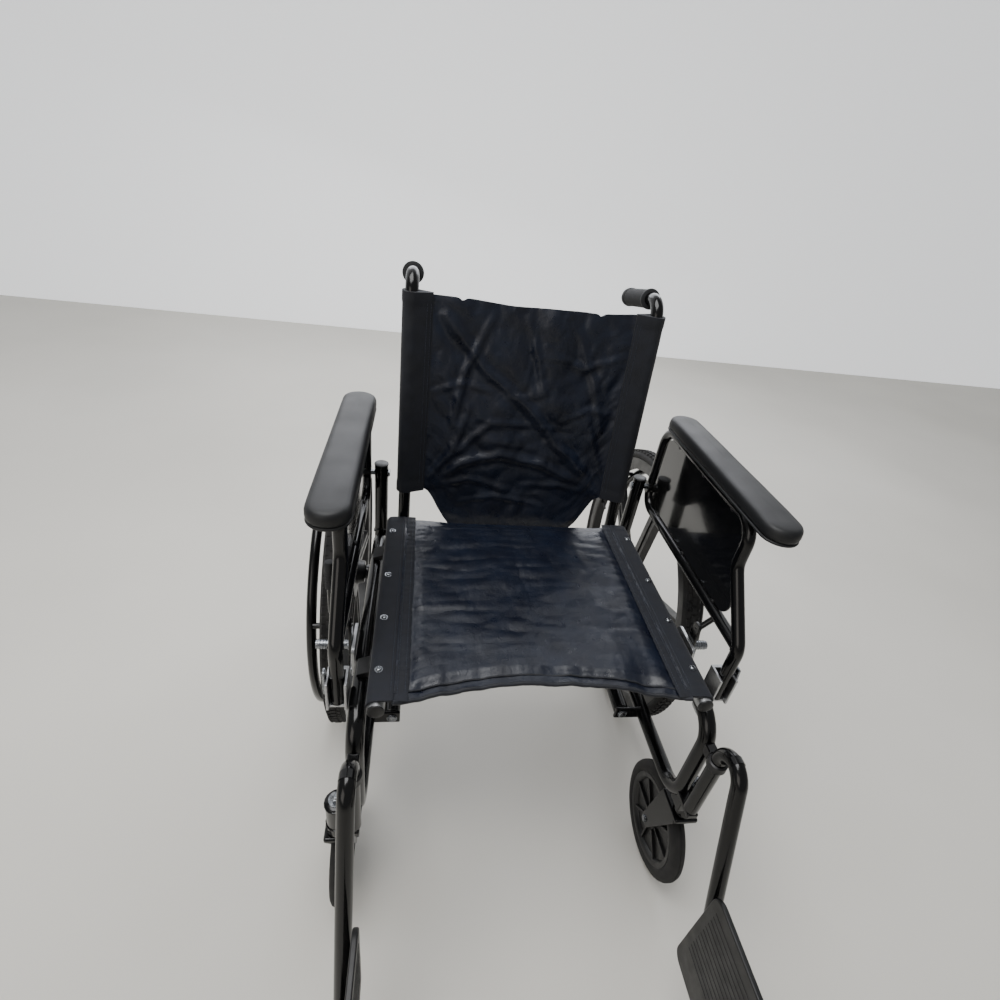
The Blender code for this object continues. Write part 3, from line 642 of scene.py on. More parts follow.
def back_post(side, s, body):
    x = s * CANE_X
    path = [(x, CANE_Y, 0.335), (x, CANE_Y, CANE_BEND_Z), (x, *CANE_TOP), (x, *HANDLE_END)]
    piece(
        f"cane_{side}", bar(rounded(path, 0.030, step=6), CANE, sides=28), PAINT, body, [f"back_post_{side}"],
    )
    end_cap(f"cane_plug_{side}", (x, CANE_Y, 0.335), (0, 0, -1), CANE, body)
    for label, z in (("low", 0.360), ("high", 0.425)):
        spacer = block((s * 0.2150, CANE_Y - 0.0095, z - 0.011), (s * 0.2425, 0.2060, z + 0.011))
        soften(piece(f"cane_spacer_{label}_{side}", spacer, MOULDED, body), 0.003, 3)
        spot = (s * (CANE_X - CANE + 0.0004), CANE_Y, z)
        hex_bolt(f"cane_bolt_{label}_{side}", spot, (-s, 0, 0), 0.0058, 0.0046, body)
    end = Vector((x, *HANDLE_END))
    along = (end - Vector((x, *CANE_TOP))).normalized()
    profile = [(0.0002, 0.0113), (-0.104, 0.0113), (-0.1040, 0.0150), (-0.1035, 0.0172), (-0.1015, 0.0180)]
    profile += [(-0.0990, 0.0178), (-0.0972, 0.0160)]
    for k in range(15):
        low = -0.0960 + k * 0.0058
        profile += [(low, 0.0151), (low + 0.0006, 0.0160), (low + 0.0036, 0.0162), (low + 0.0044, 0.0152)]
    profile += [(-0.0075, 0.0150), (-0.0065, 0.0170), (-0.0010, 0.0174), (0.0045, 0.0166), (0.0070, 0.0135)]
    profile += [(0.0074, 0.0060), (0.0060, 0.0048), (0.0060, 0.0020)]
    piece(
        f"grip_{side}", turned(profile, end, along, 40), GRIP, body, [f"hand_grip_{side}"],
        soft=50
    )


def seat_rail(side, s, body):
    x = s * SEAT_RAIL_X
    path = [(x, SEAT_REAR_Y - 0.004, SEAT_RAIL_Z), (x, SEAT_FRONT_Y - 0.004, SEAT_RAIL_Z)]
    piece(
        f"seat_tube_{side}", bar(path, SEAT_RAIL, sides=28), ALLOY, body, [f"seat_rail_{side}"]
    )
    end_cap(f"seat_plug_rear_{side}", (x, path[0][1] - 0.0004, SEAT_RAIL_Z), (0, 1, 0), SEAT_RAIL, body)
    end_cap(f"seat_plug_front_{side}", (x, path[1][1] + 0.0004, SEAT_RAIL_Z), (0, -1, 0), SEAT_RAIL, body)


def cross_brace(name, s, y, body):
    foot = Vector((s * BRACE_PIVOT_X, y, BRACE_PIVOT_Z))
    head = Vector((-s * SEAT_RAIL_X, y, SEAT_RAIL_Z))
    along = (head - foot).normalized()
    mesh = bar([foot, head - along * (SEAT_RAIL + 0.0008)], BRACE, sides=28)
    ends = [(BRACE_Y - BARREL_HALF, 0.0128), (BRACE_Y - BARREL_HALF + 0.0012, BARREL)]
    ends += [(BRACE_Y + BARREL_HALF - 0.0012, BARREL), (BRACE_Y + BARREL_HALF, 0.0128)]
    turned(ends, (foot.x, 0, foot.z), (0, 1, 0), 32, mesh=mesh)
    piece(f"{name}_tube", mesh, PAINT, body, [name])
    tee_bead(f"{name}_weld_foot", foot, BRACE, BARREL, along, (0, 1, 0), body)
    ring = []
    for k in range(60):
        angle = math.tau * k / 60
        out = Vector((0, 1, 0)) * math.cos(angle) + along.cross(Vector((0, 1, 0))) * math.sin(angle)
        ring.append(head - along * (SEAT_RAIL + 0.0026) + out * BRACE * 0.99)
    bead(f"{name}_weld_head", ring, 0.0017, body)
    return foot + (head - foot) * BRACE_PIVOT_X / (BRACE_PIVOT_X + SEAT_RAIL_X)


def rod(name, spot, axis, low, high, radius, head, body, stands_for):
    """A shank with a hexagon head, washer and nut at its ends."""
    spot, axis = Vector(spot), Vector(axis).normalized()
    shank = turned([(low, radius), (high, radius)], spot, axis, 24)
    for end, way in ((low, -1), (high, 1)):
        turned([(0, head * 1.02), (0.0009, head * 1.02)], spot + axis * end, axis * way, 28, mesh=shank)
        nut = [(0.0008, head * 0.92), (0.0026, head * 0.92), (0.0030, head * 0.80)]
        turned(nut, spot + axis * end, axis * way, 6, mesh=shank)
    return soften(piece(name, shank, PLATED, body, [stands_for], soft=30), 0.0003)


def rail_saddle(name, s, y, body):
    bowl = []
    for k in range(17):
        angle = math.pi + math.pi * k / 16
        bowl.append((SEAT_RAIL_X + 0.0118 * math.cos(angle), SEAT_RAIL_Z - 0.004 + 0.0118 * math.sin(angle)))
    outline = [
        (0.2110, 0.4835), *bowl, (0.2420, 0.4835), (0.2420, 0.4700), (0.2600, 0.4630), (0.2600, 0.4580)
    ]
    outline += [(0.2390, 0.4580), (0.2110, 0.4680)]
    mesh = plate([(s * x, z) for x, z in outline], [], 1, y - 0.015, y + 0.015)
    soften(piece(f"{name}_cup", mesh, MOULDED, body, [name]), 0.0009, 2)
    screw = pan_head(0.0036, 0.0018)
    bmesh.ops.translate(screw, vec=(s * 0.2535, y, 0.4612), verts=screw.verts)
    piece(f"{name}_screw", screw, PLATED, body)


# Wheels
def spoke_windows(inner, outer, spoke):
    windows = []
    for k in range(6):
        middle = math.radians(60 * k + 70)
        loop = []
        for radius, count, back in ((inner, 7, False), (outer, 25, True)):
            half = math.radians(30) - math.asin(spoke / radius)
            angles = [middle - half + 2 * half * j / (count - 1) for j in range(count)]
            if back:
                angles.reverse()
            loop += [(AXLE_Y + radius * math.cos(a), WHEEL + radius * math.sin(a)) for a in angles]
        windows.append(rounded_loop(loop, 0.004, 20))
    return windows


def rear_wheel(side, s, body):
    centre = (s * WHEEL_X, AXLE_Y, WHEEL)
    spokes = plate(
        circle(AXLE_Y, WHEEL, 0.2700, 144), spoke_windows(0.0540, 0.2600, 0.0150), 0, s * 0.3095, s * 0.3265
    )
    soften(piece(f"mag_spokes_{side}", spokes, MAG, body, [f"rear_wheel_{side}"]), 0.0030, 3)
    rim = [(-0.0095, 0.2600), (-0.0110, 0.2615), (-0.0120, 0.2665), (-0.0128, 0.2760), (-0.0128, 0.2850)]
    rim += [(-0.0116, 0.2862), (-0.0104, 0.2850), (-0.0100, 0.2800)]
    piece(
        f"mag_rim_{side}", turned(mirrored(rim), centre, (s, 0, 0), 144, ring=True), MAG, body,
    )
    hub = [
        (0.2900, 0.0180), (0.2902, 0.0225), (0.2920, 0.0240), (0.3030, 0.0260), (0.3060, 0.0290),
        (0.3075, 0.0560)
    ]
    hub += [
        (0.3285, 0.0560), (0.3300, 0.0290), (0.3330, 0.0260), (0.3368, 0.0240), (0.3380, 0.0225),
        (0.3380, 0.0160)
    ]
    piece(f"mag_hub_{side}", turned(hub, (0, AXLE_Y, WHEEL), (s, 0, 0), 64), MAG, body)
    for label, low, high in (("out", 0.3262, 0.3290), ("in", 0.3070, 0.3098)):
        ribs = bmesh.new()
        for k in range(6):
            angle = math.radians(60 * k + 40)
            along, across = Vector((0, math.cos(angle), math.sin(angle))), Vector(
                (0, -math.sin(angle), math.cos(angle))
            )
            ends = [(0.050, 0.0046), (0.160, 0.0030), (0.2640, 0.0042)]
            loop = [along * r + across * w for r, w in ends] + [
                along * r - across * w for r, w in reversed(ends)
            ]
            rib = plate([(AXLE_Y + p.y, WHEEL + p.z) for p in loop], [], 0, s * low, s * high)
            merge(ribs, rib)
        soften(piece(f"spoke_ribs_{label}_{side}", ribs, MAG, body), 0.0008, 2)
    casing = [(-0.0105, 0.2830), (-0.0125, 0.2862), (-0.0158, 0.2890), (-0.0168, 0.2930), (-0.0152, 0.2975)]
    casing += [(-0.0105, 0.3010), (-0.0050, 0.3022)]
    piece(
        f"tyre_casing_{side}", turned(mirrored(casing), centre, (1, 0, 0), 180, ring=True), TYRE, body,
        [f"rear_tyre_{side}"]
    )
    for label, shift, start, wide, radius in (
        ("middle", 0, 0, 0.0042, 0.3020), ("left", -0.0092, 1.5, 0.0034, 0.3006),
        ("right", 0.0092, 1.5, 0.0034, 0.3006)
    ):
        unit = block((-wide, -0.0055, -0.0016), (wide, 0.0055, 0.0030))
        bmesh.ops.rotate(
            unit, cent=(0, 0, 0), matrix=Matrix.Rotation(-math.copysign(0.28, shift) if shift else 0, 3, "Y"),
            verts=unit.verts
        )
        spot = (s * WHEEL_X + shift, AXLE_Y, WHEEL)
        round_axle(f"tread_{label}_{side}", unit, TYRE, 120, radius, start, spot, body)
    hoop = turned(circle(0, HANDRIM, HANDRIM_TUBE), (s * HANDRIM_X, AXLE_Y, WHEEL), (s, 0, 0), 160, ring=True)
    piece(f"push_rim_{side}", hoop, PAINT, body, [f"handrim_{side}"])
    tabs = bmesh.new()
    for k in range(6):
        angle = math.radians(60 * k + 40)
        y, z = AXLE_Y + 0.264 * math.cos(angle), WHEEL + 0.264 * math.sin(angle)
        turned(
            [(0.3270, 0.0075), (0.3300, 0.0070), (0.3380, 0.0052), (0.3500, 0.0050)], (0, y, z), (s, 0, 0),
            20, mesh=tabs
        )
    piece(f"push_rim_posts_{side}", tabs, PAINT, body)
    rod(
        f"axle_bolt_{side}", (0, AXLE_Y, WHEEL), (s, 0, 0), 0.2560, 0.3384, 0.006, 0.009, body,
        f"rear_axle_{side}"
    )
    angle = math.radians(10)
    out = Vector((0, math.cos(angle), math.sin(angle)))
    spot = Vector(centre) + out * 0.262
    stem = [(-0.024, 0.0020), (-0.0235, 0.0026), (-0.012, 0.0026), (-0.011, 0.0034), (0.002, 0.0036)]
    piece(f"valve_{side}", turned(stem, spot, out, 20), MOULDED, body)


def caster(side, s, fork_body, wheel_body):
    x, y = s * CASTER_X, FRONT_Y + TRAIL
    stem = [
        (CROWN_Z + 0.004, 0.0150), (CROWN_Z + 0.0105, 0.0148), (0.2160, 0.0140), (0.2172, 0.0130),
        (0.2172, 0.006), (0.2945, 0.006)
    ]
    piece(
        f"fork_stem_{side}", turned(stem, (x, FRONT_Y, 0), (0, 0, 1), 32), PAINT, fork_body,
        [f"caster_fork_{side}"]
    )
    crown = block((x - 0.0205, FRONT_Y - 0.018, CROWN_Z), (x + 0.0205, FRONT_Y + 0.040, CROWN_Z + 0.0095))
    soften(piece(f"fork_crown_{side}", crown, PAINT, fork_body), 0.0035, 4)
    for label, low in (("in", -0.0205), ("out", 0.0160)):
        corners = [
            (y + 0.012, 0.088), (FRONT_Y + 0.040, CROWN_Z + 0.004), (FRONT_Y - 0.018, CROWN_Z + 0.004),
            (y - 0.011, 0.088)
        ]
        shape = rounded_loop(corners, 0.0075)
        leg = plate(shape, [circle(y, CASTER, 0.0043)], 0, x + low, x + low + 0.0045)
        soften(piece(f"fork_leg_{label}_{side}", leg, PAINT, fork_body), 0.0012, 3)
    nut = turned([(0.2936, 0.0118), (0.2948, 0.0118)], (x, FRONT_Y, 0), (0, 0, 1), 32)
    turned([(0.2946, 0.0085), (0.3010, 0.0085), (0.3020, 0.0074)], (x, FRONT_Y, 0), (0, 0, 1), 6, mesh=nut)
    turned([(0.3010, 0.0062), (0.3035, 0.0058), (0.3048, 0.0040)], (x, FRONT_Y, 0), (0, 0, 1), 24, mesh=nut)
    soften(
        piece(f"stem_nut_{side}", nut, PLATED, fork_body, [f"caster_nut_{side}"], soft=30), 0.0004
    )
    centre = (x, y, CASTER)
    hub = [
        (-0.0140, 0.0050), (0.0140, 0.0050), (0.0140, 0.0138), (0.0128, 0.0150), (0.0060, 0.0185),
        (0.0042, 0.0230)
    ]
    hub += [
        (0.0042, 0.0655), (0.0095, 0.0690), (0.0110, 0.0720), (0.0110, 0.0783), (-0.0110, 0.0783),
        (-0.0110, 0.0720)
    ]
    hub += [
        (-0.0095, 0.0690), (-0.0042, 0.0655), (-0.0042, 0.0230), (-0.0060, 0.0185), (-0.0128, 0.0150),
        (-0.0140, 0.0138)
    ]
    piece(
        f"caster_hub_{side}", turned(hub, centre, (1, 0, 0), 96, ring=True), MAG, wheel_body,
        [f"caster_wheel_{side}"]
    )
    rib = block((-0.0090, -0.0016, -0.0245), (0.0090, 0.0016, 0.0245))
    round_axle(f"caster_ribs_{side}", rib, MAG, 8, 0.0435, 0, centre, wheel_body)
    tread = [(-0.0105, 0.0785), (-0.0122, 0.0815), (-0.0126, 0.0870), (-0.0115, 0.0930), (-0.0085, 0.0978)]
    tread += [(-0.0040, 0.0998), (-0.0015, 0.1000), (-0.0010, 0.0988)]
    piece(
        f"caster_tread_{side}", turned(mirrored(tread), centre, (1, 0, 0), 96, ring=True), TYRE, wheel_body,
        [f"caster_tyre_{side}"]
    )
    rod(
        f"caster_bolt_{side}", centre, (1, 0, 0), -0.0208, 0.0208, 0.004, 0.0064, fork_body,
        f"caster_axle_{side}"
    )


# Arms
def armrest(side, s, body, frame_body):
    x = s * ARM_X
    path = rounded([(x, y, z) for y, z in [*ARM_PATH, (0.050, ARM_LOW_Z)]], 0.035, step=6)
    tubes = bar(path, ARM_TUBE, sides=24)
    bar([(x, -0.189, ARM_LOW_Z), (x, 0.070, ARM_LOW_Z)], ARM_TUBE * 0.98, mesh=tubes)
    boss = [(0.2716, 0.0118), (0.2724, 0.0125), (0.2897, 0.0125), (0.2905, 0.0118)]
    turned(boss, (0, *ARM_PIVOT), (s, 0, 0), 32, mesh=tubes)
    piece(f"arm_tubes_{side}", tubes, PAINT, body, [f"arm_frame_{side}"])
    end_cap(f"arm_plug_{side}", (x, -0.191, 0.4455), (0, 0, -1), ARM_TUBE, body, 0.002)
    tee_bead(
        f"arm_weld_{side}", (x, -0.191, ARM_LOW_Z), ARM_TUBE * 0.98, ARM_TUBE, (0, 1, 0), (0, 0, 1), body,
        0.0015
    )
    spot = (0, *ARM_PIVOT)
    rod(f"arm_pivot_{side}", spot, (s, 0, 0), 0.2406, 0.2910, 0.005, 0.0082, frame_body, f"arm_bolt_{side}")
    for label, y in (("front", -0.070), ("rear", 0.120)):
        saddle = block((x - 0.0150, y - 0.012, 0.7165), (x + 0.0150, y + 0.012, 0.7222))
        soften(piece(f"pad_saddle_{label}_{side}", saddle, MOULDED, body), 0.0015, 2)
    arm_pad(side, s, body)
    corners = [(0.1900, 0.5555), (0.1900, 0.7005), (-0.1035, 0.7005), (-0.1035, 0.6340), (-0.1655, 0.5555)]
    skirt = plate(rounded_loop(corners, 0.0245, 9), [], 0, s * 0.2796, s * 0.2824)
    soften(piece(f"skirt_{side}", skirt, SKIRT, body, [f"side_panel_{side}"]), 0.0006, 2)
    spots = (
        (-0.060, 0.7030), (0.040, 0.7030), (0.140, 0.7030), (-0.100, 0.5530), (0.020, 0.5530), (0.140, 0.5530)
    )
    clips = bmesh.new()
    for y, z in spots:
        for face in (-1, 1):
            high = 0.0034
            turned(
                [(0.0008, 0.0050), (high, 0.0048), (high + 0.0006, 0.0034)], (x, y, z), (face, 0, 0), 20,
                mesh=clips
            )
    piece(f"skirt_clips_{side}", clips, MOULDED, body)


def arm_pad(side, s, body):
    """A moulded pad with a crowned top, rounded ends and a raised seam round its lower edge."""
    middle, half = s * (PAD_X[0] + PAD_X[1]) / 2, (PAD_X[1] - PAD_X[0]) / 2
    low = PAD_Z[0]
    profile = [
        (0.0230, 0), (0.0070, 0), (0.0024, 0.0004), (0.0006, 0.0014), (0.0000, 0.0030), (0.0004, 0.0044)
    ]
    profile += [
        (0.0022, 0.0052), (0.0020, 0.0060), (0.0005, 0.0074), (0.0000, 0.0110), (0.0002, 0.0170),
        (0.0010, 0.0205)
    ]
    profile += [
        (0.0026, 0.0232), (0.0050, 0.0249), (0.0084, 0.0257), (0.0130, 0.0261), (0.0190, 0.0264),
        (0.0250, 0.0265)
    ]
    mesh, rings = bmesh.new(), []
    for inset, rise in profile:
        ring = []
        for y, turn in ((PAD_Y[1] - half, 0), (PAD_Y[0] + half, math.pi)):
            for k in range(21):
                angle = turn + math.pi * k / 20
                ring.append((middle + (half - inset) * math.cos(angle), y + (half - inset) * math.sin(angle)))
            nearest = ring[-1]
            far = PAD_Y[0] + half if turn == 0 else PAD_Y[1] - half
            for k in range(1, 48):
                ring.append((nearest[0], nearest[1] + (far - nearest[1]) * k / 48))
        verts = []
        for u, v in ring:
            droop = 0.0020 * max(0, abs(v - 0.004) - 0.130) / 0.055
            soft = 0.0004 * noise.noise(Vector((u * 22, v * 22, s))) * min(1, rise / 0.010)
            verts.append(mesh.verts.new((u, v, low + max(0, rise - droop * rise / 0.0265) + soft)))
        rings.append(verts)
    skin(mesh, rings)
    pad = piece(f"pad_{side}", mesh, PAD_SKIN, body, [f"arm_pad_{side}"], soft=60)


def arm_socket(side, s, body, latch_body):
    walls = [(0.2668, -0.2050), (0.2708, -0.2050), (0.2708, -0.1785), (0.2912, -0.1785), (0.2912, -0.2050)]
    walls += [(0.2952, -0.2050), (0.2952, -0.1720), (0.2668, -0.1720)]
    mesh = plate([(s * x, y) for x, y in walls], [], 2, 0.4400, 0.4920)
    soften(piece(f"socket_cup_{side}", mesh, ALLOY, body, [f"arm_socket_{side}"]), 0.0012, 3)
    floor = block((s * 0.2690, -0.2000, 0.4402), (s * 0.2940, -0.1740, 0.4448))
    soften(piece(f"socket_floor_{side}", floor, ALLOY, body), 0.0008)
    corners = [(-0.1965, 0.4440), (-0.1965, 0.3960), (-0.1705, 0.3960), (-0.1705, 0.4440)]
    shape = rounded_loop(corners, 0.006)
    leg = plate(shape, [circle(-0.1835, 0.408, 0.0032)], 0, s * 0.2668, s * 0.2708)
    soften(piece(f"socket_leg_{side}", leg, ALLOY, body), 0.0008)
    for label, y, z in (("low", -0.1835, 0.408), ("high", -0.1835, 0.432)):
        head = [(0, 0.0046), (0.0008, 0.0046), (0.0018, 0.0036), (0.0023, 0.0015)]
        piece(f"socket_rivet_{label}_{side}", turned(head, (s * 0.2708, y, z), (s, 0, 0), 24), PLATED, body)
    catch = [
        (-0.196, 0.462), (-0.182, 0.462), (-0.180, 0.480), (-0.186, 0.505), (-0.196, 0.505), (-0.199, 0.480)
    ]
    shape = rounded_loop(catch, 0.0025, 15)
    tab = plate(shape, [], 0, s * 0.2956, s * 0.2990)
    soften(piece(f"latch_tab_{side}", tab, PLATED, latch_body, [f"arm_latch_{side}"]), 0.0007, 2)
    ribs = bmesh.new()
    for k in range(4):
        z = 0.487 + 0.004 * k
        bar([(s * 0.2991, -0.1950, z), (s * 0.2991, -0.1875, z)], 0.0008, mesh=ribs, sides=8)
    piece(f"latch_ribs_{side}", ribs, PLATED, latch_body)


# Wheel locks
def wheel_lock(side, s, body, lever_body, shoe_body):
    corners = [(-0.126, 0.430), (-0.126, 0.468), (-0.066, 0.468), (-0.060, 0.364), (-0.098, 0.364)]
    shape = rounded_loop(corners, 0.007)
    holes = [circle(-0.1120, 0.4430, 0.0035), circle(-0.0790, 0.4050, 0.0035)]
    base = plate(shape, holes, 0, s * 0.2666, s * 0.2715)
    soften(piece(f"lock_plate_{side}", base, ALLOY, body, [f"lock_base_{side}"]), 0.0009)
    pins = bmesh.new()
    for y, z in ((-0.101, 0.452), (-0.0817, 0.3745)):
        turned([(0.2700, 0.0041), (0.2795, 0.0041), (0.2802, 0.0034)], (0, y, z), (s, 0, 0), 24, mesh=pins)
        turned([(0.2771, 0.0064), (0.2786, 0.0064)], (0, y, z), (s, 0, 0), 24, mesh=pins)
    piece(f"lock_pins_{side}", pins, PLATED, body)
    y, z = -0.101, 0.452
    cheek = [(y - 0.0115, z - 0.011), (y + 0.0115, z - 0.011), (y + 0.009, z + 0.052), (y - 0.009, z + 0.052)]
    shape = rounded_loop(cheek, 0.0055)
    arm = plate(shape, [circle(y, z, 0.0043)], 0, s * 0.2719, s * 0.2769)
    soften(piece(f"lock_cheek_{side}", arm, PAINT, lever_body, [f"lock_lever_{side}"]), 0.0009)
    handle = [(s * 0.2744, y, z + 0.040), (s * 0.3000, y + 0.001, z + 0.068), (s * 0.3020, y + 0.014, 0.602)]
    piece(
        f"lock_handle_{side}", bar(rounded(handle, 0.012), 0.0048, sides=20), PAINT, lever_body,
    )
    low, high = Vector((s * 0.30145, y + 0.0085, 0.560)), Vector((s * 0.3020, y + 0.014, 0.6035))
    long = (high - low).length
    grip = [(0, 0.0049), (0.0004, 0.0066), (0.004, 0.0071)]
    grip += [
        (0.008 + 0.0045 * k + d, r) for k in range(5) for d,
        r in ((0, 0.0070), (0.0012, 0.0062), (0.0024, 0.0070))
    ]
    grip += [(long - 0.004, 0.0074), (long - 0.0006, 0.0062), (long, 0.0030)]
    piece(f"lock_knob_{side}", turned(grip, low, high - low, 28), GRIP, lever_body)
    y, z = -0.0817, 0.3745
    shoe = [
        (y - 0.0095, z - 0.009), (y + 0.0095, z - 0.009), (-0.0663 + 0.008, 0.4168 + 0.006),
        (-0.0663 - 0.008, 0.4168 + 0.006)
    ]
    shape = rounded_loop(shoe, 0.005)
    arm = plate(shape, [circle(y, z, 0.0043)], 0, s * 0.2719, s * 0.2769)
    soften(piece(f"lock_shoe_arm_{side}", arm, ALLOY, shoe_body, [f"lock_shoe_{side}"]), 0.0009)
    knurl = [(0.2760, 0.0070), (0.2800, 0.0070)]
    for k in range(9):
        low_x = 0.2900 + 0.0046 * k
        knurl += [
            (low_x, 0.0072), (low_x + 0.0006, 0.0080), (low_x + 0.0034, 0.0080), (low_x + 0.0040, 0.0072)
        ]
    knurl += [(0.3335, 0.0070)]
    piece(f"lock_stud_{side}", turned(knurl, (0, -0.0663, 0.4168), (s, 0, 0), 28), PLATED, shoe_body)


# Footrests
def footrest(side, s, body, plate_body):
    x = s * FRAME_X
    path = rounded([(x, y, z) for y, z in HANGER_PATH], 0.030, step=6)
    piece(
        f"hanger_tube_{side}", bar(path, HANGER_TUBE, sides=28), PAINT, body, [f"hanger_{side}"],
    )
    end_cap(f"hanger_plug_{side}", (x, -0.5455, 0.130), (0, -1, 0), HANGER_TUBE, body, 0.002)
    clamp = turned(
        [(0.4040, 0.0128), (0.4050, 0.0140), (0.4160, 0.0140), (0.4170, 0.0128)], (x, HANGER_Y, 0), (0, 0, 1),
        32
    )
    piece(f"hanger_collar_{side}", clamp, MOULDED, body)
    corners = [(-0.546, 0.118), (-0.546, 0.310), (-0.401, 0.310), (-0.401, 0.118)]
    shape = rounded_loop(corners, 0.018, 9)
    board = plate(shape, [], 0, s * 0.2318, s * 0.2398)
    soften(
        piece(f"foot_board_{side}", board, MOULDED, plate_body, [f"footplate_{side}"]),
        0.0022, 3
    )
    strips = bmesh.new()
    for k in range(12):
        z = 0.172 + 0.0105 * k
        loop = [(-0.532, z - 0.0015), (-0.532, z + 0.0015), (-0.415, z + 0.0015), (-0.415, z - 0.0015)]
        strip = plate(loop, [], 0, s * 0.2311, s * 0.2322)
        merge(strips, strip)
    soften(piece(f"foot_ribs_{side}", strips, MOULDED, plate_body), 0.0004, 1)
    sleeve = [
        (-0.541, 0.0113), (-0.541, 0.0140), (-0.540, 0.0150), (-0.462, 0.0150), (-0.461, 0.0140),
        (-0.461, 0.0113)
    ]
    piece(f"foot_sleeve_{side}", turned(sleeve, (x, 0, 0.130), (0, 1, 0), 36, ring=True), MOULDED, plate_body)
    web = block((s * 0.2330, -0.536, 0.121), (s * 0.2520, -0.466, 0.139))
    soften(piece(f"foot_web_{side}", web, MOULDED, plate_body), 0.0030, 3)


# Cloth
def grid(name, columns, rows, spot):
    """A cloth grid. spot(i, j) gives the position and the flat (u, v) in metres of each vertex."""
    mesh = bmesh.new()
    flat = mesh.loops.layers.uv.new("flat")
    places = [[spot(i / (columns - 1), j / (rows - 1)) for i in range(columns)] for j in range(rows)]
    verts = [[mesh.verts.new(place) for place, _ in row] for row in places]
    for j in range(rows - 1):
        for i in range(columns - 1):
            corners = ((j, i), (j, i + 1), (j + 1, i + 1), (j + 1, i))
            face = mesh.faces.new([verts[a][b] for a, b in corners])
            for loop, (a, b) in zip(face.loops, corners):
                loop[flat].uv = places[a][b][1]
    data = bpy.data.meshes.new(name)
    mesh.to_mesh(data)
    mesh.free()
    made = bpy.data.objects.new(name, data)
    bpy.context.scene.collection.objects.link(made)
    return made


def settle(made, held, grow, gravity, bending):
    """Lets a cloth grid fall from its held vertices and keeps where it ends."""
    scene = bpy.context.scene
    group = made.vertex_groups.new(name="held")
    for index in held:
        group.add([index], 1.0, "REPLACE")
    change = made.modifiers.new("fall", "CLOTH")
    cloth = change.settings
    cloth.quality, cloth.mass, cloth.air_damping = 7, 0.0008, 3.0
    cloth.tension_stiffness, cloth.compression_stiffness, cloth.shear_stiffness = 18.0, 18.0, 8.0
    cloth.bending_stiffness = bending
    cloth.vertex_group_mass, cloth.pin_stiffness = "held", 1.0
    cloth.shrink_min = -grow
    change.collision_settings.use_collision = False
    change.point_cache.frame_start, change.point_cache.frame_end = 1, FALL_FRAMES
    before = scene.gravity.copy()
    scene.gravity = gravity
    scene.frame_start, scene.frame_end = 1, FALL_FRAMES
    for number in range(1, FALL_FRAMES + 1):
        scene.frame_set(number)
    graph = bpy.context.evaluated_depsgraph_get()
    fallen = made.evaluated_get(graph)
    spots = [vert.co.copy() for vert in fallen.data.vertices]
    made.modifiers.remove(change)
    made.vertex_groups.remove(group)
    scene.gravity = before
    scene.frame_set(1)
    for vert, spot in zip(made.data.vertices, spots):
        vert.co = spot


def ridge(u, v, line, width, height):
    """Height at (u, v) of a fold that runs along a polyline, fading at both its ends."""
    best, along, whole = 1e9, 0.0, sum(math.dist(a, b) for a, b in zip(line, line[1:]))
    run = 0.0
    for a, b in zip(line, line[1:]):
        length = math.dist(a, b)
        t = ((u - a[0]) * (b[0] - a[0]) + (v - a[1]) * (b[1] - a[1])) / length**2
        t = min(1, max(0, t))
        gap = math.dist((u, v), (a[0] + (b[0] - a[0]) * t, a[1] + (b[1] - a[1]) * t))
        if gap < best:
            best, along = gap, (run + t * length) / whole
        run += length
    fade = math.sin(math.pi * min(1, max(0, 0.06 + 0.88 * along))) ** 0.6
    return height * fade * (
        math.exp(-((best / width) ** 2)) - 0.45 * math.exp(-(((best - 1.7 * width) / width) ** 2))
    )


def crumple(u, v, seed, across, along):
    """Height of creased cloth: sharp valleys between rounded facets, as many per metre each way as stated."""
    bend = noise.noise_vector(Vector((u * 9, v * 9, seed))) * 0.022
    u, v = u + bend.x, v + bend.y
    large = abs(noise.noise(Vector((u * across, v * along, seed))))
    small = abs(noise.noise(Vector((u * across * 2.3, v * along * 2.1, seed + 5))))
    return 0.0125 * (large - 0.2) + 0.0036 * (small - 0.2)


def thicken(name, made, columns, rows, above, below, material):
    """Turns a settled grid into a closed cloth. above(i, j) and below(i, j) are its thickness in metres."""
    source = made.data
    source.update()
    normals = [vert.normal.copy() for vert in source.vertices]
    spots = [vert.co.copy() for vert in source.vertices]
    uvs = source.uv_layers[0].data
    flat = {}
    for loop in source.loops:
        flat[loop.vertex_index] = uvs[loop.index].uv.copy()
    mesh = bmesh.new()
    layer = mesh.loops.layers.uv.new("flat")
    count = columns * rows
    top = [mesh.verts.new(spots[k] + normals[k] * above(k % columns, k // columns)) for k in range(count)]
    under = [mesh.verts.new(spots[k] - normals[k] * below(k % columns, k // columns)) for k in range(count)]

    def face(keys):
        made_face = mesh.faces.new([(top if side else under)[k] for side, k in keys])
        for loop, (_, k) in zip(made_face.loops, keys):
            loop[layer].uv = flat[k]

    for j in range(rows - 1):
        for i in range(columns - 1):
            k = j * columns + i
            face([(1, k), (1, k + 1), (1, k + columns + 1), (1, k + columns)])
            face([(0, k), (0, k + columns), (0, k + columns + 1), (0, k + 1)])
    border = list(range(columns))
    border += [j * columns + columns - 1 for j in range(1, rows)]
    border += [(rows - 1) * columns + i for i in range(columns - 2, -1, -1)]
    border += [j * columns for j in range(rows - 2, 0, -1)]
    for k, here in enumerate(border):
        there = border[(k + 1) % len(border)]
        face([(1, here), (0, here), (0, there), (1, there)])
    bpy.data.objects.remove(made)
    return piece(name, mesh, material, soft=70)


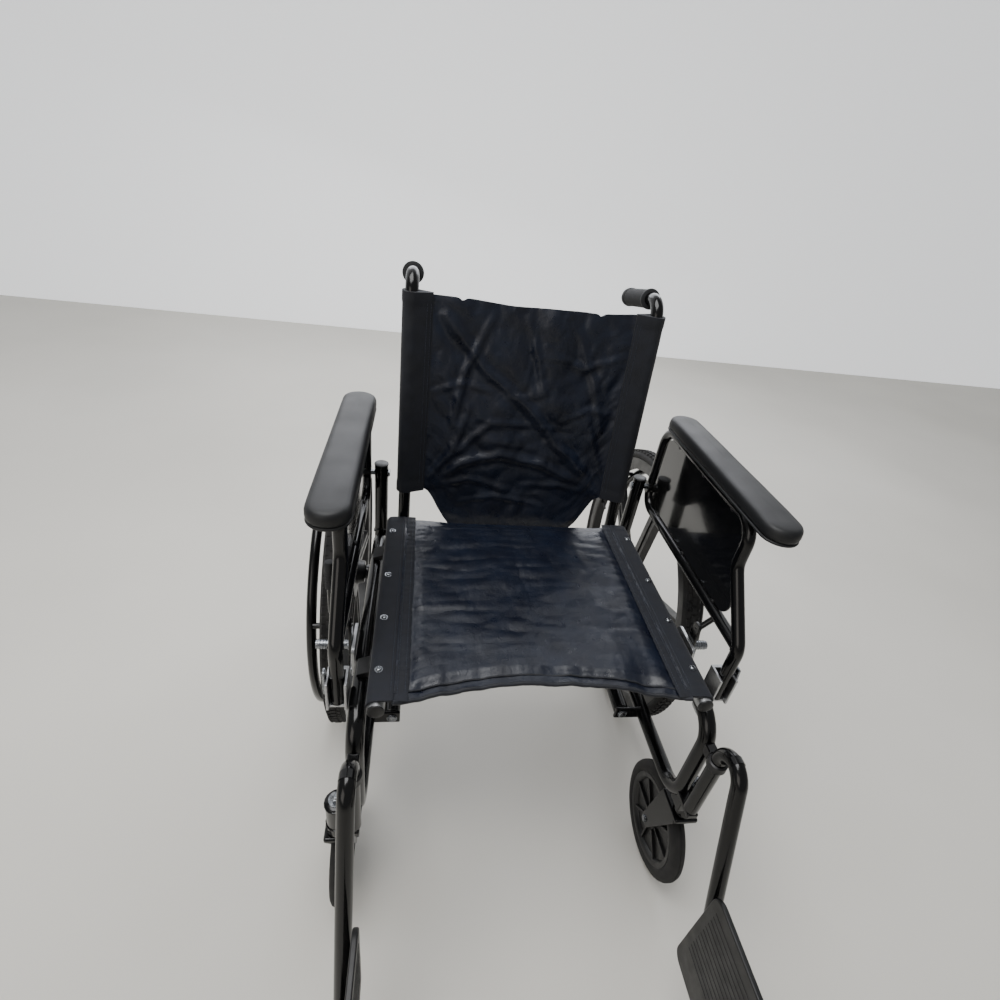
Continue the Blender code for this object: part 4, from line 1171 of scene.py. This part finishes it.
BACK_HALF, BACK_TOP = 0.1790, 0.9010
BACK_FOLDS = (
    ([(-0.069, 0.884), (-0.112, 0.783), (-0.128, 0.700)], 0.0065, 0.0050),
    ([(-0.011, 0.878), (0.033, 0.750)], 0.0060, 0.0042),
    ([(0.066, 0.888), (0.123, 0.776), (0.150, 0.690)], 0.0065, 0.0046),
    ([(-0.150, 0.870), (-0.079, 0.786), (0.010, 0.721), (0.178, 0.548)], 0.0085, 0.0062),
    ([(-0.165, 0.565), (-0.109, 0.612), (-0.036, 0.631), (0.044, 0.616), (0.175, 0.562)], 0.0080, 0.0058),
    ([(0.176, 0.562), (0.100, 0.640), (0.050, 0.660)], 0.0060, 0.0040),
    ([(0.176, 0.570), (0.130, 0.690)], 0.0060, 0.0040),
    ([(0.176, 0.556), (0.090, 0.575), (0.010, 0.570)], 0.0055, 0.0036),
    ([(-0.176, 0.562), (-0.120, 0.650), (-0.100, 0.720)], 0.0060, 0.0042),
    ([(-0.176, 0.556), (-0.090, 0.580), (-0.020, 0.560)], 0.0055, 0.0036),
    ([(-0.176, 0.575), (-0.060, 0.690), (0.040, 0.690)], 0.0065, 0.0036),
    ([(-0.170, 0.740), (-0.120, 0.760), (-0.050, 0.745)], 0.0055, 0.0030),
    ([(0.170, 0.830), (0.100, 0.800), (0.040, 0.820)], 0.0060, 0.0030),
    ([(0.172, 0.720), (0.120, 0.730), (0.070, 0.700)], 0.0055, 0.0030),
    ([(-0.110, 0.530), (-0.040, 0.545), (0.060, 0.530)], 0.0050, 0.0030),
)


def back_bottom(x):
    """Height of the back cloth's lower edge: cut in at both corners, low in the middle."""
    t = min(1, max(0, (abs(x) - 0.112) / 0.066))
    return 0.4780 + 0.0780 * t * t * (3 - 2 * t)


def back_panel():
    columns, rows = BACK_GRID

    def spot(i, j):
        x = BACK_HALF * (2 * i - 1)
        top = BACK_TOP - 0.0040 * (1 - (x / BACK_HALF) ** 2) + 0.0012 * math.sin(x * 40)
        top -= sum(0.0045 * math.exp(-(((x - nick) / 0.005) ** 2)) for nick in (-0.127, 0.113))
        z = back_bottom(x) + (top - back_bottom(x)) * j
        wobble = 0.0012 * noise.noise(Vector((x * 16, z * 16, 3.0)))
        return (x, CANE_Y + (z - CANE_BEND_Z) * LEAN + 0.0004 + wobble * (1 - abs(2 * i - 1)), z), (x, z)

    cloth = grid("back_cloth", columns, rows, spot)
    held = [j * columns + i for j in range(rows) for i in (0, columns - 1)]
    settle(cloth, held, 0.012, (0.0, 3.0, -5.0), 0.06)
    normal = Vector((0, 1, -LEAN)).normalized()
    for vert in cloth.data.vertices:
        x, z = vert.co.x, vert.co.z
        edge = min(1, (BACK_HALF - abs(x)) / 0.012)
        rise = 0.85 * sum(ridge(x, z, line, width, height) for line, width, height in BACK_FOLDS)
        vert.co -= normal * (rise + crumple(x, z, 3.0, 12, 9)) * edge
    hem = math.ceil(rows * 0.055)

    def above(i, j):
        return 0.0006

    def below(i, j):
        return 0.0026 if j >= rows - hem or j < 2 + hem // 3 else 0.0006

    panel = thicken("back_panel", cloth, columns, rows, above, below, NYLON)
    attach(panel, "frame_left")
    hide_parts("back_sling")
    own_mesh(panel)


def back_sleeve(side, s, body):
    """The channel sewn round a cane: a teardrop in section that closes at a seam towards the middle."""
    rows, mesh, rings = 72, bmesh.new(), []
    for j in range(rows):
        t = j / (rows - 1)
        z = 0.5540 + (0.9030 - 0.5540) * t
        hem = 0.0009 if t < 0.045 or t > 0.955 else 0.0
        ring = []
        for k in range(25):
            angle = math.radians(62 + 236 * k / 24)
            radius = 0.0150 + hem
            ring.append((radius * math.cos(angle), radius * math.sin(angle)))
        start, last = ring[0], ring[-1]
        tip = 0.0350
        lower = [
            (last[0] + (tip - last[0]) * k / 7, last[1] + (-0.0016 - hem - last[1]) * k / 7)
            for k in range(1, 8)
        ]
        upper = [
            (start[0] + (tip - start[0]) * k / 7, start[1] + (0.0016 + hem - start[1]) * k / 7)
            for k in range(7, 0, -1)
        ]
        verts = []
        for u, v in ring + lower + upper:
            away = math.hypot(u, v)
            pucker = 0.0012 * noise.noise(Vector((u * 50, z * 42, s * 2 + v * 60)))
            if u > 0.010:
                pucker += 0.0007 * math.sin(z * math.tau / 0.013 + u * 90) * (
                    0.5 + 0.5 * noise.noise(Vector((0, z * 30, s)))
                )
            scale = 1 + pucker / max(away, 0.004) * (1 if abs(v) > 0.0022 else 0.25)
            y = CANE_Y + (z - CANE_BEND_Z) * LEAN + v * scale
            verts.append(mesh.verts.new((s * CANE_X - s * u, y, z)))
        rings.append(verts)
    skin(mesh, rings)
    sleeve = piece(f"back_sleeve_{side}", mesh, SLEEVE, body, soft=60)
    for label, inset in (("inner", 0.0322), ("outer", 0.0260)):
        points = []
        for j in range(60):
            z = 0.5620 + (0.8890 - 0.5620) * j / 59
            half = 0.0016 + (0.0350 - inset) * 0.42
            points.append((s * (CANE_X - inset), CANE_Y + (z - CANE_BEND_Z) * LEAN - half - 0.0002, z))
        along_line(f"back_stitch_{label}_{side}", stitch(), THREAD, points, STITCH_STEP, body)


SEAT_HALF_CLOTH, SEAT_TOP = 0.2060, 0.4996


def seat_front(x):
    """Where the seat cloth's front edge lies: bowed back in the middle."""
    return SEAT_FRONT_Y + 0.0340 * (1 - (x / SEAT_HALF_CLOTH) ** 2)


def seat_panel():
    columns, rows = SEAT_GRID

    def spot(i, j):
        x = SEAT_HALF_CLOTH * (2 * i - 1)
        front, rear = seat_front(x), SEAT_REAR_Y - 0.0030 * (1 - (x / SEAT_HALF_CLOTH) ** 2)
        y = front + (rear - front) * j
        wobble = 0.0010 * noise.noise(Vector((x * 9, y * 30, 5.0))) * (1 - abs(2 * i - 1))
        return (x, y, SEAT_TOP + wobble), (x, y)

    cloth = grid("seat_cloth", columns, rows, spot)
    held = [j * columns + i for j in range(rows) for i in (0, columns - 1)]
    settle(cloth, held, 0.0065, (0.0, 0.0, -9.8), 0.4)
    cells = [
        ((2 * (k % columns) / (columns - 1) - 1) * SEAT_HALF_CLOTH, k // columns / (rows - 1))
        for k in range(columns * rows)
    ]
    for vert, (x, t) in zip(cloth.data.vertices, cells):
        middle = min(1, (SEAT_HALF_CLOTH - abs(x)) / 0.03)
        streak = 0.24 * crumple(x, vert.co.y, 2.0, 6, 34) + 0.0006 * noise.noise(
            Vector((x * 18, vert.co.y * 130, 9.0))
        )
        pull = noise.noise(Vector((x * 38, 0.4 * t, 4.0))) + 0.5 * noise.noise(Vector((x * 85, t, 1.0)))
        vert.co.z += (streak + 0.0026 * pull * math.exp(-t / 0.13)) * middle

    def above(i, j):
        x, t = (2 * i / (columns - 1) - 1) * SEAT_HALF_CLOTH, j / (rows - 1)
        inside = min(SEAT_HALF_CLOTH - 0.0210 - abs(x), t * 0.41 - 0.016, (1 - t) * 0.41 - 0.010)
        fill = min(1, max(0, inside / 0.016))
        y = SEAT_FRONT_Y + 0.41 * t
        pucker = 0.0013 * math.sin(y * math.tau / 0.0125 + 3 * noise.noise(Vector((y * 25, x * 4, 0))))
        near = math.exp(-(((inside - 0.008) / 0.010) ** 2))
        return 0.0010 + 0.0052 * math.sin(fill * math.pi / 2) + pucker * near * fill

    def below(i, j):
        return 0.0012

    panel = thicken("seat_panel", cloth, columns, rows, above, below, NYLON)
    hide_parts("seat_sling")
    return panel


def seat_strip(side, s, body):
    """The doubled strip that the screws go through, wrapped over the rail."""
    section = [(0.2396, 0.4880), (0.2398, 0.4925), (0.2375, 0.4975), (0.2335, 0.4996), (0.2290, 0.5004)]
    section += [
        (0.2200, 0.5012), (0.2120, 0.5013), (0.2062, 0.5013), (0.2050, 0.5007), (0.2046, 0.4999),
        (0.2030, 0.4998)
    ]
    section += [(0.1960, 0.5003), (0.1880, 0.5001), (0.1862, 0.4993)]
    section += [
        (0.1880, 0.4978), (0.2000, 0.4984), (0.2150, 0.4987), (0.2265, 0.4987), (0.2320, 0.4972),
        (0.2360, 0.4940)
    ]
    section += [(0.2378, 0.4900), (0.2380, 0.4875)]
    rows, mesh, rings = 120, bmesh.new(), []
    for j in range(rows):
        t = j / (rows - 1)
        y = SEAT_FRONT_Y + 0.0010 + (SEAT_REAR_Y - 0.0010 - SEAT_FRONT_Y) * t
        hem = 0.0008 if t < 0.035 or t > 0.965 else 0
        verts = []
        for u, v in section:
            ripple = 0.0005 * noise.noise(Vector((u * 90, y * 60, s * 3)))
            if u < 0.200:
                ripple += 0.0006 * math.sin(y * math.tau / 0.013 + 2 * noise.noise(Vector((y * 20, 0, s))))
            verts.append(mesh.verts.new((s * u, y, v + (ripple + hem if v > 0.4989 else 0))))
        rings.append(verts)
    skin(mesh, rings)
    strip = piece(f"seat_strip_{side}", mesh, STRIP, body, soft=60)
    for label, x in (("inner", 0.1905), ("middle", 0.2005), ("outer", 0.2090)):
        points = [
            (s * x, SEAT_FRONT_Y + 0.006 + 0.398 * k / 60, 0.5015 if x > 0.205 else 0.5003) for k in range(61)
        ]
        along_line(f"seat_stitch_{label}_{side}", stitch(), THREAD, points, STITCH_STEP, body)
    spots = bmesh.new()
    for back in SCREWS_FROM_REAR:
        spots.verts.new((s * 0.2270, SEAT_REAR_Y - back, 0.5008))
    screws_at(f"seat_screws_{side}", spots, body)


def screws_at_tree():
    """A screw on each vertex of the carrier."""
    sockets = [("Piece", "NodeSocketObject"), ("Size", "NodeSocketFloat"), ("Finish", "NodeSocketMaterial")]
    tree, start, end = tree_with("screws_at", sockets)
    shape = add(tree, "GeometryNodeObjectInfo", Object=start.outputs["Piece"])
    copies = add(
        tree, "GeometryNodeInstanceOnPoints", Points=start.outputs["Geometry"], Scale=start.outputs["Size"]
    )
    tree.links.new(shape.outputs["Geometry"], copies.inputs["Instance"])
    return close_tree(tree, start, end, copies.outputs[0])


SCREWS_AT = screws_at_tree()


def screws_at(name, spots, body):
    unit = pan_head(0.0042, 0.0026)
    turned([(-0.0008, 0.0056), (0.0004, 0.0056)], (0, 0, 0), (0, 0, 1), 28, mesh=unit)
    shape = piece(f"{name}_unit", unit, PLATED)
    return repeat(name, SCREWS_AT, spots, PLATED, {"Piece": shape, "Size": 1.0}, body)


def build():
    for side, s in SIDES:
        own = f"frame_{side}"
        side_frame(side, s, own)
        back_post(side, s, own)
        seat_rail(side, s, "brace_b" if s < 0 else "brace_a")
        rail_saddle(f"rail_saddle_front_{side}", s, -0.150, own)
        rail_saddle(f"rail_saddle_rear_{side}", s, 0.110, own)
        rear_wheel(side, s, f"wheel_{side}")
        caster(side, s, f"fork_{side}", f"caster_{side}")
        armrest(side, s, f"arm_{side}", own)
        arm_socket(side, s, own, f"latch_{side}")
        wheel_lock(side, s, own, f"lever_{side}", f"shoe_{side}")
        footrest(side, s, f"hanger_{side}", f"plate_{side}")
        spot = (s * BRACE_PIVOT_X, 0, BRACE_PIVOT_Z)
        reach = BARREL_HALF + 0.0074
        rod(
            f"brace_pivot_{side}", spot, (0, 1, 0), BRACE_Y - reach, BRACE_Y + reach, 0.006, 0.009, own,
            f"brace_rod_{side}"
        )
        back_sleeve(side, s, own)
        seat_strip(side, s, "brace_b" if s < 0 else "brace_a")
    cross_brace("cross_brace_a", -1, BRACE_Y - BRACE_OFFSET, "brace_a")
    middle = cross_brace("cross_brace_b", 1, BRACE_Y + BRACE_OFFSET, "brace_b")
    reach = BRACE_OFFSET + BRACE + 0.0006
    spot = (middle.x, 0, middle.z)
    rod(
        "brace_middle", spot, (0, 1, 0), BRACE_Y - reach, BRACE_Y + reach, 0.005, 0.009, "brace_a",
        "brace_bolt"
    )
    back_panel()
    seat = seat_panel()
    front = [seat.data.vertices[i].co.copy() for i in range(SEAT_GRID[0])]
    hem = bmesh.new()
    bar([(p.x, p.y - 0.0012, p.z - 0.0010) for p in front], 0.0030, sides=14, mesh=hem)
    bar([(p.x, p.y + 0.0125, p.z + 0.0002) for p in front], 0.0016, sides=10, mesh=hem)
    piping = piece("seat_piping", hem, TAPE)
    for made in (seat, piping):
        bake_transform(made)


def lamp(name, spot, target, size, power, colour="#FFFFFF"):
    data = bpy.data.lights.new(name, "AREA")
    data.shape, data.size, data.size_y = "RECTANGLE", size[0], size[1]
    data.energy, data.color = power, linear(colour)[:3]
    made = bpy.data.objects.new(name, data)
    bpy.context.scene.collection.objects.link(made)
    made.location = spot
    made.rotation_euler = (Vector(target) - Vector(spot)).to_track_quat("-Z", "Y").to_euler()
    return made


def studio():
    """A pale floor, a pale surround, a wide window-like light behind and soft lights in front."""
    floor_skin, tree, shader = finish("pale_floor", "#D3D0C8", 0.7)
    tint(tree, shader, place(tree), "#CECBC3", "#D8D5CD", 900)
    floor_mesh = bmesh.new()
    bmesh.ops.create_grid(floor_mesh, x_segments=1, y_segments=1, size=25)
    floor = piece("studio_floor", floor_mesh, floor_skin, outward=False)
    wall_skin, tree, shader = finish("lit_backdrop", "#F2F3F4", 0.8, Emission_Strength=0.75)
    shader.inputs["Emission Color"].default_value = linear("#F1F3F6")
    wall_mesh = bmesh.new()
    bmesh.ops.create_grid(wall_mesh, x_segments=1, y_segments=1, size=1)
    spots = ((-9, 3.2, 0), (9, 3.2, 0), (9, 3.2, 7), (-9, 3.2, 7))
    for vert, spot in zip(
        sorted(wall_mesh.verts, key=lambda v: (v.co.y, v.co.x if v.co.y < 0 else -v.co.x)), spots
    ):
        vert.co = spot
    wall = piece("studio_wall", wall_mesh, wall_skin, outward=False)
    world = bpy.data.worlds.new("studio_surround")
    bpy.context.scene.world = world
    world.use_nodes = True
    world.node_tree.nodes["Background"].inputs["Color"].default_value = linear("#F2F3F4")
    world.node_tree.nodes["Background"].inputs["Strength"].default_value = 0.32
    lamp("back_window", (0.3, 2.4, 2.1), (0, 0, 0.5), (3.2, 1.6), 60, "#F6F8FF")
    lamp("top_soft", (-0.6, -0.2, 2.8), (0, 0, 0.4), (1.6, 1.6), 60, "#FFFFFF")
    lamp("front_fill", (-1.8, -2.2, 1.6), (0, 0, 0.5), (1.6, 1.6), 16, "#FFF8F0")


def camera():
    """Looks down on the seat from in front and to the left, from close by with a wide lens."""
    yaw, pitch, roll = (math.radians(a) for a in VIEW_TURN)
    ahead = Vector((math.sin(yaw) * math.cos(pitch), math.cos(yaw) * math.cos(pitch), -math.sin(pitch)))
    right = Vector((math.cos(yaw), -math.sin(yaw), 0))
    up = right.cross(ahead)
    across = right * math.cos(roll) + up * math.sin(roll)
    above = up * math.cos(roll) - right * math.sin(roll)
    data = bpy.data.cameras.new("viewpoint")
    data.sensor_width, data.lens = 36.0, VIEW_LENS
    data.clip_start = 0.05
    made = bpy.data.objects.new("viewpoint", data)
    bpy.context.scene.collection.objects.link(made)
    turn = Matrix((across, above, -ahead)).transposed().to_4x4()
    made.matrix_world = Matrix.Translation(VIEW_SPOT) @ turn
    bpy.context.scene.camera = made


build()
studio()
camera()
